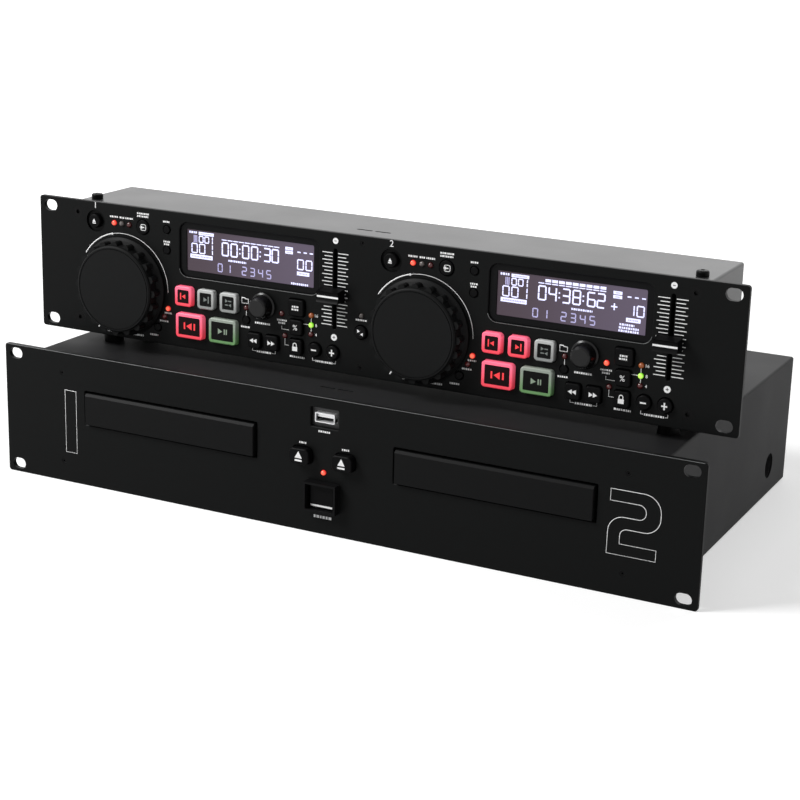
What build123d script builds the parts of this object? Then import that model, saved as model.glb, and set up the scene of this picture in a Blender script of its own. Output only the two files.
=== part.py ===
"""A two-piece disc player for a rack: a drive unit with two trays, and a control unit on top of it.

Sizes are in millimetres. X runs to the right, Y from the front to the back and Z up. Each unit is
drawn with its panel's face at Y 0 and its panel's lower edge at Z 0, and both are then put together
over the middle of the whole, standing on Z 0.
"""

import math
import os

from build123d import *

# Rack panels: both units have the same one, two rack units high.
rack_width = 482.6
panel_height = 88.1
panel_thickness = 3.0
panel_corner = 2.0
panel_edge = 0.4
slot_pitch_x = 465.1
slot_pitch_z = 76.2
slot_length = 10.2
slot_width = 7.4

# Sheet-metal cases.
case_width = 434.0
case_bottom = 1.0
case_top = 86.2
sheet = 1.2
drive_depth = 257.0
control_depth = 68.0
play = 0.1
flange = 12.0
bend = 1.6
top_slot_length = 11.0
top_slot_width = 2.0
top_slot_gap = 1.6
top_slots_x = -6.0
top_slots_y = 26.0

# Where the control unit stands on the drive unit.
control_right = 6.0
control_back = 33.4
control_foot = 9.0
control_lift = case_top - case_bottom + control_foot

# Disc trays.
tray_pitch = 225.4
door_width = 127.0
door_height = 20.6
door_proud = 2.4
door_thickness = 6.0
door_bevel = 1.5
door_gap = 1.2
door_side_gap = 1.7
tray_width = 126.0
tray_length = 186.0
tray_thickness = 9.0
tray_top = 56.4
tray_middle = 53.1
well_diameter = 121.0
well_depth = 2.2
small_well_diameter = 81.0
small_well_depth = 1.0
well_from_door = 12.0
pickup_slot_width = 42.0
tray_floor = 1.8
tray_edge = 6.0
tray_travel = 142.0
gear_module = 1.0
rack_depth = 1.8

# The loaders under the trays.
guide_room = 0.4
guide_wall = 2.4
guide_ledge = 8.0
loader_base = 2.0
loader_drop = 16.4
clamp_radius = 14.0
clamp_over_disc = 5.2
bridge_over_tray = 5.0
pinion_teeth = 16
pinion_out_of_mesh = 0.4
wheel_teeth = 24
small_wheel_teeth = 10
pulley_radius = 10.5
motor_pulley_radius = 3.0
belt_thickness = 0.8
loading_motor_radius = 10.5
loading_motor_length = 17.0

# Buttons of every kind.
button_clearance = 0.4
button_lip = 1.0
button_lip_thickness = 1.0
lip_gap = 0.3
stem_diameter = 3.0
key_travel = 0.8
switch_gap = 0.3
board_depth = 14.0
board_thickness = 1.6
switch_size = 6.0

# The middle of the drive unit's panel.
eject_spacing = 29.8
eject_height = 49.4
eject_width = 13.6
eject_tall = 10.0
eject_corner = 3.0
eject_proud = 5.4
eject_travel = 1.2
power_height = 24.9
power_frame_width = 22.4
power_frame_tall = 18.8
power_frame_wall = 1.4
power_frame_proud = 5.7
power_cap_width = 16.4
power_cap_tall = 14.6
power_cap_proud = 2.2
power_travel = 2.5
stick_height = 74.8
stick_recess_width = 19.6
stick_recess_tall = 12.4
stick_shell_width = 13.6
stick_shell_tall = 6.0
stick_shell_wall = 0.5
drive_lamp_height = 40.2
lamp_diameter = 3.0
lamp_clearance = 0.1

# One deck of the control unit, measured from the deck's own middle line.
deck_pitch = 216.4
window_x = 27.3
window_z = 64.5
window_width = 102.2
window_tall = 35.2
window_corner = 6.0
window_depth = 1.4
glass_width = 93.0
glass_tall = 27.0
glass_depth = 0.8
jog_x = -67.5
jog_z = 34.7
jog_skirt = 32.4
jog_face = 28.2
jog_groove = 26.6
jog_grip = 28.6
jog_grips = 20
jog_grip_bump = 2.4
jog_proud = 11.6
jog_gap = 0.8
knob_x = 39.0
knob_z = 35.6
knob_base = 8.6
knob_front = 6.6
knob_proud = 9.2
shaft_diameter = 6.0
shaft_clearance = 0.05
bushing_diameter = 9.0
fader_x = 89.55
fader_z = 52.7
fader_slot_width = 2.4
fader_slot_length = 50.6
fader_travel = 45.3
fader_rest = -3.0
fader_cap_width = 14.8
fader_cap_tall = 8.6
fader_cap_front = 7.0
fader_cap_proud = 10.4
fader_stem_width = 1.4
fader_stem_tall = 4.0

# Each button: place across and up, width, height, corner and how far it stands out.
deck_buttons = {
    "eject_key": (-88.5, 75.6, 8.8, 8.8, 4.4, 1.8),
    "source_button": (-51.5, 75.5, 9.0, 9.0, 4.5, 0.8),
    "time_button": (-33.3, 76.0, 4.8, 4.8, 2.4, 0.6),
    "single_button": (-33.3, 62.6, 4.8, 4.8, 2.4, 0.6),
    "jog_mode_button": (-40.7, 11.0, 4.8, 4.8, 2.4, 0.6),
    "loop_in_key": (-19.5, 34.5, 12.7, 12.7, 2.2, 2.8),
    "loop_out_key": (-2.6, 34.5, 12.7, 12.7, 2.2, 2.8),
    "reloop_key": (14.2, 34.5, 12.7, 12.7, 2.2, 2.8),
    "cue_key": (-15.1, 15.3, 20.4, 16.0, 2.2, 2.8),
    "play_key": (9.9, 15.3, 20.4, 16.0, 2.2, 2.8),
    "folder_button": (26.3, 24.8, 4.8, 4.8, 2.4, 0.6),
    "search_back_button": (32.9, 12.7, 9.2, 9.4, 1.4, 2.5),
    "search_forward_button": (45.7, 12.7, 9.2, 9.4, 1.4, 2.5),
    "tap_button": (63.1, 37.8, 11.0, 10.2, 1.4, 2.5),
    "pitch_range_button": (63.1, 25.2, 9.2, 9.4, 1.4, 2.5),
    "key_lock_button": (63.1, 12.7, 9.2, 9.4, 1.4, 2.5),
    "bend_down_button": (76.4, 12.7, 8.6, 8.6, 4.3, 2.2),
    "bend_up_button": (89.2, 12.7, 8.6, 8.6, 4.3, 2.2),
}
relay_button = (0.3, 28.2, 8.2, 8.2, 4.1, 1.6)
lit_keys = ("loop_in_key", "loop_out_key", "reloop_key", "cue_key", "play_key")
lit_key_border = 2.0
lit_key_pocket = 0.4
eject_dish_diameter = 14.4
eject_dish_depth = 1.6
deck_lamps = (
    (-73.8, 75.9), (-67.8, 75.9), (-62.1, 75.9), (-32.6, 24.3), (-35.4, 18.8), (26.3, 32.7),
    (52.2, 32.5), (54.6, 18.6), (73.3, 34.1), (73.3, 27.9), (73.3, 22.0),
)
relay_lamp = (0.0, 38.5)

# Screws and feet.
panel_screw = 4.0
panel_screw_head = 8.0
small_screw = 2.4
small_screw_head = 3.2
hex_across = 2.5
hex_depth = 1.4
drive_screw_x = 195.6
drive_screw_z = (14.1, 74.4)
control_screw_x = 210.7
control_screw_z = (9.5, 80.2)
control_middle_screw_z = (5.6, 83.9)
side_dish_diameter = 17.0
side_dish_depth = 7.0
side_dish_y = 218.0
side_dish_z = 20.5
drive_foot_diameter = 20.0
control_foot_diameter = 13.0

# Connectors.
phono_barrel = 8.3
phono_bore = 3.4
phono_length = 9.0
phono_collar = 10.4
phono_collar_proud = 0.8
phono_pitch = 14.0
phono_height = 46.0
link_outer = 13.6
link_bore = 9.4
link_length = 7.0
link_height = 24.0
inlet_width = 27.6
inlet_tall = 20.0
inlet_cavity_width = 24.6
inlet_cavity_tall = 16.6
inlet_cavity_depth = 15.0
inlet_x = -190.0
inlet_z = 30.0

FRONT = Plane((0, 0, 0), x_dir=(1, 0, 0), z_dir=(0, -1, 0))
half_case = case_width / 2
middle_z = panel_height / 2
well_y = door_thickness - door_proud + well_from_door + well_diameter / 2
door_bottom = tray_middle - door_height / 2
tray_bottom = tray_top - tray_thickness
tray_front = door_thickness - door_proud
hollow_top = tray_top - well_depth - small_well_depth - tray_floor
supply_floor = case_bottom + sheet
nodes = {}


def prism(outline, near, far):
    """A solid with this outline as seen from the front, between two depths behind the panel's face."""
    return Pos(0, near, 0) * extrude(FRONT * outline, -(far - near))


def block(across, along, up):
    """A box between two places each way."""
    size = [high - low for low, high in (across, along, up)]
    middle = [(high + low) / 2 for low, high in (across, along, up)]
    return Pos(*middle) * Box(*size)


def rounded(x, z, width, tall, corner):
    """A rounded rectangle on the panel, or a circle where the corner is half the width."""
    if width == tall and corner >= width / 2:
        return Pos(x, z) * Circle(width / 2)
    return Pos(x, z) * RectangleRounded(width, tall, corner)


def turned(x, z, points):
    """A body turned about an axis through the panel; points are (radius, depth) pairs in order."""
    outline = make_face(Polyline(*[(radius, depth) for radius, depth in points], close=True))
    return Pos(x, 0, z) * revolve(outline, Axis.Y)


def put(name, *solids):
    """Keep the separate solids of one piece under its name."""
    loose = [solid for shape in solids for solid in shape.solids()]
    nodes.setdefault(name, []).extend(loose)


def both(values):
    """A value and its mirror image."""
    return (-values, values)


# ---- Shared shapes ------------------------------------------------------------------------------


def rack_panel(cuts, screw_cuts):
    """A flat panel with four rack slots, its front edges broken and its cut-outs softened."""
    plate = prism(rounded(0, middle_z, rack_width, panel_height, panel_corner), 0, panel_thickness)
    plate = chamfer(plate.faces().sort_by(Axis.Y)[0].edges(), panel_edge)
    plate -= prism(Sketch() + cuts, -1, panel_thickness + 1)
    face = plate.faces().filter_by(Axis.Y).sort_by(Axis.Y)[0]
    softened = [edge for wire in face.inner_wires() for edge in wire.edges()]
    plate = chamfer(softened, panel_edge)
    slots = [
        Pos(x, middle_z + z) * SlotOverall(slot_length, slot_width)
        for x in both(slot_pitch_x / 2)
        for z in both(slot_pitch_z / 2)
    ]
    return plate - prism(Sketch() + slots, -1, panel_thickness + 1) - screw_cuts


def button(x, z, width, tall, corner, proud, reach):
    """A cap with a softened front, a lip behind the panel and a stem that reaches its switch."""
    lip_front = panel_thickness + lip_gap
    lip_back = lip_front + button_lip_thickness
    cap = prism(rounded(x, z, width, tall, corner), -proud, lip_back)
    front = cap.faces().sort_by(Axis.Y)[0]
    cap = chamfer(front.edges(), min(0.5, proud / 2))
    grown = [size + 2 * button_lip for size in (width, tall)]
    lip = prism(rounded(x, z, *grown, corner + button_lip), lip_front, lip_back)
    stem = prism(Pos(x, z) * Circle(stem_diameter / 2), lip_back, reach)
    return cap + lip + stem


def opening(x, z, width, tall, corner):
    """The hole in the panel that a button moves in."""
    room = 2 * button_clearance
    return rounded(x, z, width + room, tall + room, corner + button_clearance)


def switch(x, z):
    """The small push switch behind a button, with its round plunger."""
    body_front = board_depth - 3.0
    body = block((x - switch_size / 2, x + switch_size / 2), (body_front, board_depth),
                 (z - switch_size / 2, z + switch_size / 2))
    return body + prism(Pos(x, z) * Circle(1.6), body_front - 0.5, body_front)


def stem_reach(travel):
    """Where a stem ends, so that a full press stops just short of the switch."""
    return board_depth - 3.5 - switch_gap - travel


def lamp(x, z, proud=0.7):
    """A round indicator with a domed nose, standing on the board behind the panel."""
    radius = lamp_diameter / 2
    body = prism(Pos(x, z) * Circle(radius), -proud, board_depth)
    return chamfer(body.faces().sort_by(Axis.Y)[0].edges(), radius * 0.4)


def hexagon(across):
    """A hexagon with this distance between its flats."""
    return RegularPolygon(across / 2, 6, major_radius=False)


def csk_screw(x, z, length):
    """A flat-headed panel screw with a hexagon socket."""
    head, shank = panel_screw_head / 2, panel_screw / 2
    cone = head - shank
    body = turned(x, z, [(0, 0), (head, 0), (shank, cone), (shank, length), (0, length)])
    return body - prism(Pos(x, z) * hexagon(hex_across), -1, hex_depth)


def csk_cut(x, z):
    """The countersunk hole that such a screw sits in."""
    head, shank = panel_screw_head / 2, panel_screw / 2
    cone = head - shank
    deep = panel_thickness + 2 * sheet
    room = shaft_clearance
    points = [(0, -1), (head + room, -1), (head + room, 0), (shank + room, cone)]
    return turned(x, z, points + [(shank + room, deep), (0, deep)])


def small_screw_at(x, z, length):
    """A little socket screw whose head is flush with the panel."""
    head, shank = small_screw_head / 2, small_screw / 2
    body = turned(x, z, [(0, 0.2), (head, 0.2), (head, 1.6), (shank, 1.6), (shank, length), (0, length)])
    return body - prism(Pos(x, z) * hexagon(hex_across / 2), -1, hex_depth)


def small_screw_cut(x, z):
    """The stepped hole for a little socket screw."""
    head, shank = small_screw_head / 2 + 0.1, small_screw / 2 + shaft_clearance
    deep = panel_thickness + 2 * sheet
    return turned(x, z, [(0, -1), (head, -1), (head, 1.6), (shank, 1.6), (shank, deep), (0, deep)])


def link_socket(x, y, z, direction):
    """A round cable socket: a moulded collar around a blind bore."""
    ring = Circle(link_outer / 2) - Circle(link_bore / 2)
    floor = Circle(link_outer / 2)
    near, far = sorted((y, y + direction * link_length))
    inner, outer = sorted((y - direction * 2.0, y))
    return prism(Pos(x, z) * ring, near, far) + prism(Pos(x, z) * floor, inner, outer)


def top_slots():
    """The cutter for a pair of narrow slots near the front of a case's top."""
    half = (top_slot_length + top_slot_gap) / 2
    slot = extrude(SlotOverall(top_slot_length, top_slot_width), 2 * bend, both=True)
    places = [Pos(top_slots_x + step, top_slots_y, case_top) for step in both(half)]
    return Part() + [place * slot for place in places]


def folded(width, low, high, edge):
    """The outline of a case as seen from the front, with a bend at each corner, shrunk by an edge."""
    tall = high - low - 2 * edge
    return Pos(0, (high + low) / 2) * RectangleRounded(width - 2 * edge, tall, max(bend - edge, 0.3))


# ---- Drive unit ---------------------------------------------------------------------------------

tray_openings = [
    Pos(x, tray_middle) * RectangleRounded(door_width + 2 * door_side_gap, door_height + 2 * door_gap, 0.8)
    for x in both(tray_pitch / 2)
]
eject_shapes = [(x, eject_height, eject_width, eject_tall, eject_corner) for x in both(eject_spacing / 2)]
power_opening = Pos(0, power_height) * Rectangle(power_frame_width - 1.0, power_frame_tall - 1.0)
stick_opening = Pos(0, stick_height) * RectangleRounded(stick_recess_width, stick_recess_tall, 1.0)
lamp_hole = Pos(0, drive_lamp_height) * Circle(lamp_diameter / 2 + lamp_clearance)
drive_screw_places = [(x, z) for x in both(drive_screw_x) for z in drive_screw_z]

drive_cuts = tray_openings + [opening(*shape) for shape in eject_shapes]
drive_cuts += [power_opening, stick_opening, lamp_hole]
drive_screw_cuts = Part() + [small_screw_cut(x, z) for x, z in drive_screw_places]
put("drive_front_panel", rack_panel(drive_cuts, drive_screw_cuts))

# The chassis is a folded tray: floor, front wall, back wall and low side lips.
wall = panel_thickness
inner_half = half_case - sheet - play
back_inside = drive_depth - sheet
chassis_top = case_top - sheet - play
chassis_bend = bend - sheet + play
floor = block(both(inner_half), (wall, drive_depth), (case_bottom, case_bottom + sheet))
wall_outline = RectangleRounded(2 * inner_half, chassis_top - case_bottom, chassis_bend)
wall_outline = Pos(0, (chassis_top + case_bottom) / 2) * wall_outline
front_wall = prism(wall_outline, wall, wall + sheet)
back_wall = prism(wall_outline, back_inside, drive_depth)
lips = [
    block(
        sorted((side * inner_half, side * (inner_half - sheet))), (wall, drive_depth), (case_bottom, flange)
    )
    for side in (-1, 1)
]
middle_opening = Pos(0, 39) * Rectangle(76, 54)
shell_room = 2 * stick_shell_wall
stick_wall_opening = Rectangle(stick_shell_width + shell_room, stick_shell_tall + shell_room)
wall_openings = tray_openings + [middle_opening, Pos(0, stick_height) * stick_wall_opening]
front_cuts = prism(Sketch() + wall_openings, wall - 1, wall + sheet + 1)
phono_places = [
    (side * 70 + step * phono_pitch, phono_height) for side in (-1, 1) for step in (-1, 0, 1)
]
link_places = [(side * 70, link_height) for side in (-1, 1)]
socket_holes = [Pos(x, z) * Circle(phono_collar / 2 + play) for x, z in phono_places]
socket_holes += [Pos(x, z) * Circle(link_outer / 2 + play) for x, z in link_places]
socket_holes += [Pos(inlet_x, inlet_z) * Rectangle(inlet_width + 2 * play, inlet_tall + 2 * play)]
back_cuts = prism(Sketch() + socket_holes, back_inside - 1, drive_depth + 1)
dish_radius = side_dish_diameter / 2
dish_profile = [(0, 0), (dish_radius + sheet, 0), (dish_radius + sheet, -side_dish_depth - sheet)]
dish_profile += [(0, -side_dish_depth - sheet)]


def side_dish(side):
    """A round cup behind the hole in the cover's side, with a hole for the screw in its floor."""
    tall = side_dish_depth + sheet
    cup = Cylinder(dish_radius + sheet, tall) - Pos(0, 0, sheet) * Cylinder(dish_radius, tall)
    cup -= Cylinder(panel_screw / 2 + shaft_clearance, 3 * side_dish_depth)
    outer = half_case - sheet - play
    middle = outer - (side_dish_depth + sheet) / 2
    return Pos(side * middle, side_dish_y, side_dish_z) * Rot(0, side * 90, 0) * cup


chassis = floor + front_wall + back_wall + lips - front_cuts - back_cuts - drive_screw_cuts
cups = [side_dish(side) for side in (-1, 1)]
cup_room = [
    Pos(side * half_case, side_dish_y, side_dish_z) * Rot(0, 90, 0) * Cylinder(dish_radius, 6 * sheet)
    for side in (-1, 1)
]
chassis = chassis - cup_room + cups
put("drive_chassis", chassis)

# The cover is an inverted tray that slides over the chassis, with a lip down its back.
cover_depth = (wall, drive_depth + sheet)
below = case_bottom - 2 * bend
cover_outline = folded(case_width, below, case_top, 0)
shell = prism(cover_outline - folded(case_width, below, case_top, sheet), *cover_depth)
shell -= block(both(case_width), (0, 2 * drive_depth), (below - 1, case_bottom))
back_lip = prism(cover_outline, drive_depth, drive_depth + sheet)
back_lip -= block(both(case_width), (0, 2 * drive_depth), (below - 1, case_top - flange))
cover_screw_x = (-150, 0, 150)
cover_screw_z = case_top - flange / 2
cover = shell + back_lip - cup_room - top_slots()
screw_hole = Circle(panel_screw / 2 + shaft_clearance)
lip_holes = Sketch() + [Pos(x, cover_screw_z) * screw_hole for x in cover_screw_x]
lip_cut = prism(lip_holes, back_inside - 1, drive_depth + 2 * sheet)
put("drive_cover", cover - lip_cut)
nodes["drive_chassis"] = (Part() + nodes["drive_chassis"] - lip_cut).solids()


def disc_tray(side):
    """The moulded tray with its front: two wells, a slot for the pickup and a rack along one edge."""
    x = side * tray_pitch / 2
    half_tray, tray_end = tray_width / 2, tray_front + tray_length
    body = block((x - half_tray, x + half_tray), (tray_front, tray_end), (tray_bottom, tray_top))
    body = fillet(body.edges().filter_by(Axis.Z).group_by(Axis.Y)[-1], 5)
    well = Pos(x, well_y, tray_top) * Cylinder(well_diameter / 2, 2 * well_depth)
    floor_z = tray_top - well_depth
    small_well = Pos(x, well_y, floor_z) * Cylinder(small_well_diameter / 2, 2 * small_well_depth)
    half_slot = pickup_slot_width / 2
    slot_end = tray_end - 14
    slot = block((x - half_slot, x + half_slot), (well_y, slot_end), (tray_bottom - 1, tray_top + 1))
    slot += Pos(x, well_y, tray_top) * Cylinder(half_slot, 4 * tray_thickness)
    hollow_half = half_tray - tray_edge
    hollow = block((x - hollow_half, x + hollow_half), (tray_front + 4, tray_end - tray_edge),
                   (tray_bottom - 1, hollow_top))
    rim = half_slot + 2
    keep = block((x - rim, x + rim), (well_y, slot_end + 2), (tray_bottom, tray_top))
    keep += Pos(x, well_y, tray_top - tray_thickness / 2) * Cylinder(rim, tray_thickness)
    thumb = Pos(x, well_y - well_diameter / 2, tray_top) * Cylinder(11, 2 * well_depth)
    tray = body - well - small_well - (hollow - keep) - slot - thumb
    pitch = math.pi * gear_module
    teeth = int((tray_length - 24) / pitch)
    gap = extrude(Plane.XY * Trapezoid(0.62 * pitch, rack_depth, 70), hollow_top - tray_bottom + 1)
    rack_x = x - side * hollow_half
    gap = Rot(0, 0, 90 * side) * Pos(0, rack_depth / 2, 0) * gap
    gaps = [Pos(rack_x, tray_front + 12 + step * pitch, tray_bottom - 1) * gap for step in range(teeth)]
    tray -= Part() + gaps
    half_door = door_width / 2
    door_rise = (door_bottom, door_bottom + door_height)
    door = block((x - half_door, x + half_door), (-door_proud, tray_front), door_rise)
    top_edge = door.edges().filter_by(Axis.X).group_by(Axis.Y)[0].sort_by(Axis.Z)[-1]
    door = chamfer(top_edge, door_bevel)
    front_rim = door.faces().sort_by(Axis.Y)[0].edges().filter_by(Axis.Z)
    return tray + chamfer(front_rim, panel_edge)


def spur_gear(teeth, thickness):
    """A gear with straight-sided teeth of the loader's module, lying flat."""
    pitch_radius = teeth * gear_module / 2
    tooth = Trapezoid(0.52 * math.pi * gear_module, 2.1 * gear_module, 70)
    outline = Circle(pitch_radius - 1.1 * gear_module) + [
        place * Rot(0, 0, -90) * tooth for place in PolarLocations(pitch_radius - 0.1 * gear_module, teeth)
    ]
    return extrude(outline, thickness / 2, both=True)


def belt(first, second, first_radius, second_radius, width):
    """A thin belt round two pulleys, as seen from above."""
    loops = []
    for grow in (belt_thickness, 0):
        rims = [Pos(*first) * Circle(first_radius + grow), Pos(*second) * Circle(second_radius + grow)]
        loops.append(make_hull(rims[0].edges() + rims[1].edges()))
    return extrude(loops[0] - loops[1], width / 2, both=True)


def loader(side):
    """What carries a tray: a guide frame on posts, the clamp, the spindle, the pickup and its gears."""
    x = side * tray_pitch / 2
    inner = tray_width / 2 + guide_room
    outer = inner + guide_wall
    front, back = wall + sheet + 6, tray_front + tray_length + 6
    under = tray_bottom - guide_room
    deck_z = tray_bottom - loader_drop + loader_base
    base_z = deck_z - loader_base
    bridge_z = tray_top + bridge_over_tray
    frame = block((x - outer, x + outer), (front, back), (base_z, deck_z))
    for edge in (-1, 1):
        frame += block(sorted((x + edge * inner, x + edge * outer)), (front, back), (base_z, bridge_z))
        ledge = (x + edge * (inner - guide_ledge), x + edge * outer)
        frame += block(sorted(ledge), (front, back), (under - guide_wall, under))
    frame -= block((x - 24, x + 24), (well_y - 20, back - 30), (base_z - 1, deck_z + 1))
    bridge = block((x - outer, x + outer), (well_y - 14, well_y + 14), (bridge_z, bridge_z + 2))
    bridge += block((x - outer, x + outer), (well_y - 1.5, well_y + 1.5), (bridge_z + 2, bridge_z + 4))
    frame += bridge
    frame -= Pos(x, well_y, bridge_z) * Cylinder(6, 12)
    clamp_bottom = tray_top - well_depth + clamp_over_disc
    clamp_height = bridge_z - clamp_bottom
    clamp = Pos(x, well_y, clamp_bottom + clamp_height / 2) * Cylinder(clamp_radius, clamp_height)
    clamp += Pos(x, well_y, bridge_z + 2) * Cylinder(5.8, 4)
    clamp += Pos(x, well_y, bridge_z + 4.6) * Cylinder(9, 1.2)
    clamp -= Pos(x, well_y, clamp_bottom) * Cylinder(7.8, 1.6)
    sled = block((x - 22, x + 22), (well_y - 18, back - 34), (base_z, deck_z))
    sled -= block((x - 9, x + 9), (well_y + 18, back - 42), (base_z - 1, deck_z + 1))
    ears = [
        block(sorted((x + edge * 18, x + edge * 29)), (y - 5, y + 5), (deck_z, deck_z + 1.6))
        for edge in (-1, 1)
        for y in (well_y + 2, back - 42)
    ]
    motor = Pos(x, well_y, deck_z + 2) * Cylinder(11, 4)
    turntable = Pos(x, well_y, deck_z + 5.6) * Cylinder(14, 3.2)
    spindle = Cone(7.4, 6.0, 2.2, align=(Align.CENTER, Align.CENTER, Align.MIN))
    turntable += Pos(x, well_y, deck_z + 7.2) * spindle
    rod_z = deck_z + 3
    rods = [Pos(x + edge * 14, well_y + 47, rod_z) * Rot(90, 0, 0) * Cylinder(1.5, 58) for edge in (-1, 1)]
    rod_ends = [
        block((x + edge * 14 - 2.5, x + edge * 14 + 2.5), ends, (deck_z, rod_z + 2.5))
        for edge in (-1, 1)
        for ends in ((well_y + 16, well_y + 18), (well_y + 76, well_y + 78))
    ]
    pickup = block((x - 16.5, x + 16.5), (well_y + 28, well_y + 50), (deck_z + 0.6, deck_z + 6))
    lens = Pos(x, well_y + 36, deck_z + 7) * Cylinder(4, 2)
    pickup = pickup + lens - Pos(x, well_y + 36, deck_z + 8) * Cylinder(2.6, 1.2) - rods
    posts = [
        Pos(px, py, (supply_floor + base_z) / 2) * Cylinder(4, base_z - supply_floor)
        for px in (x - outer + 6, x + outer - 6)
        for py in (front + 8, back - 8)
    ]
    rails = [*rods, *rod_ends, pickup]
    return [frame, clamp, sled, *ears, motor, turntable, *rails, *posts, *gear_train(side, deck_z)]


def gear_train(side, deck_z):
    """Motor, belt and gears that drive the rack, standing at the front of the loader's base."""
    x = side * (tray_pitch / 2 - tray_width / 2 + tray_edge)
    module = gear_module
    y = tray_front + 4 + (pinion_teeth / 2 + 4) * module
    pinion_x = x + side * (pinion_teeth / 2 + 1 + pinion_out_of_mesh) * module
    second_x = pinion_x + side * (wheel_teeth + small_wheel_teeth) / 2 * module
    motor_x = second_x + side * 24
    pinion_z = (tray_bottom + hollow_top) / 2
    wheel_z = deck_z + 3.6
    pinion = Pos(pinion_x, y, pinion_z) * spur_gear(pinion_teeth, hollow_top - tray_bottom - 1.2)
    hub_height = pinion_z - wheel_z
    hub = Pos(pinion_x, y, wheel_z + hub_height / 2) * Cylinder(4, hub_height)
    axle = Pos(pinion_x, y, (deck_z + wheel_z) / 2) * Cylinder(2.5, wheel_z - deck_z)
    stack = pinion + hub + Pos(pinion_x, y, wheel_z) * spur_gear(wheel_teeth, 2.4) + axle
    half_tooth = Rot(0, 0, 180 / small_wheel_teeth)
    second = Pos(second_x, y, wheel_z) * half_tooth * spur_gear(small_wheel_teeth, 2.4)
    second += Pos(second_x, y, deck_z + 1.3) * Cylinder(pulley_radius, 1.8)
    second += Pos(second_x, y, deck_z + 0.2) * Cylinder(2.5, 0.4)
    second += Pos(second_x, y, wheel_z - 1.3) * Cylinder(3, 0.4)
    drive_pulley = Pos(motor_x, y, deck_z + 1.3) * Cylinder(motor_pulley_radius, 1.8)
    drive_pulley += Pos(motor_x, y, deck_z + 0.2) * Cylinder(1, 0.4)
    band = belt((second_x, y), (motor_x, y), pulley_radius, motor_pulley_radius, 1.2)
    band = Pos(0, 0, deck_z + 1.3) * band
    motor = Cylinder(loading_motor_radius, loading_motor_length)
    motor = Pos(motor_x, y, deck_z - loader_base - loading_motor_length / 2) * motor
    return [stack, second, drive_pulley, band, motor]


for number, side in ((1, -1), (2, 1)):
    put(f"disc_tray_{number}", disc_tray(side))
    put("disc_loaders", *loader(side))

# Eject and power buttons, with the switches behind them.
for number, shape in enumerate(eject_shapes, 1):
    put(f"eject_button_{number}", button(*shape, eject_proud, stem_reach(eject_travel)))
power_cap = prism(Pos(0, power_height) * RectangleRounded(power_cap_width, power_cap_tall, 1.0),
                  -power_cap_proud, panel_thickness + 2)
power_cap = chamfer(power_cap.faces().sort_by(Axis.Y)[0].edges(), 0.5)
power_stem = prism(Pos(0, power_height) * Rectangle(8, 8), panel_thickness + 2, board_depth - 1)
put("power_button", power_cap + power_stem)

# The small board behind the middle of the panel, with the power switch's housing as its frame.
frame_outer = Rectangle(power_frame_width, power_frame_tall)
frame_inner = Rectangle(power_frame_width - 2 * power_frame_wall, power_frame_tall - 2 * power_frame_wall)
neck_outer = Rectangle(power_frame_width - 1.2, power_frame_tall - 1.2)
switch_frame = prism(Pos(0, power_height) * (frame_outer - frame_inner), -power_frame_proud, 0)
switch_frame += prism(Pos(0, power_height) * (neck_outer - frame_inner), 0, board_depth)
switch_frame += prism(Pos(0, power_height) * (neck_outer - Rectangle(10, 10)), board_depth - 3, board_depth)
front_board = prism(Pos(0, 38) * Rectangle(72, 50), board_depth, board_depth + board_thickness)
front_board -= prism(Pos(0, power_height) * Rectangle(10, 10), board_depth - 1, board_depth + 3)
put("drive_electronics", switch_frame, front_board, lamp(0, drive_lamp_height))
put("drive_electronics", *[switch(x, eject_height) for x in both(eject_spacing / 2)])

board_z = 9.0
main_board = block((-160, 160), (206, 250), (board_z, board_z + board_thickness))
stand_offs = [
    Pos(x, y, (case_bottom + sheet + board_z) / 2) * Cylinder(3, board_z - case_bottom - sheet)
    for x in (-154, 0, 154)
    for y in (210, 246)
]
board_top = board_z + board_thickness
chips = [block((x, x + 22), (216, 238), (board_top, board_top + 3)) for x in (-120, -40, 40, 100)]
cans = [Pos(x, 226, board_top + 8) * Cylinder(6, 16) for x in (-80, -66, 72, 86)]
transformer = block((-28, 28), (70, 120), (supply_floor, supply_floor + 46))
windings = block((-22, 22), (62, 128), (supply_floor + 8, supply_floor + 38))
supply_board = block((-34, 34), (22, 56), (supply_floor + 6, supply_floor + 6 + board_thickness))
supply_feet = [Pos(x, y, supply_floor + 3) * Cylinder(3, 6) for x in (-30, 30) for y in (26, 52)]
supply_cans = [
    Pos(x, 38, supply_floor + 6 + board_thickness + 10) * Cylinder(6.5, 20) for x in (-22, -6, 10)
]
transformer_feet = [
    block(sorted((edge * 28, edge * 38)), (85, 105), (supply_floor, supply_floor + 2)) for edge in (-1, 1)
]
front_board_foot = block((-30, 30), (board_depth, board_depth + board_thickness), (supply_floor, 13.0))
put("drive_electronics", main_board, *stand_offs, *chips, *cans, front_board_foot)
put("drive_electronics", transformer + windings + transformer_feet, supply_board, *supply_feet, *supply_cans)

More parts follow.
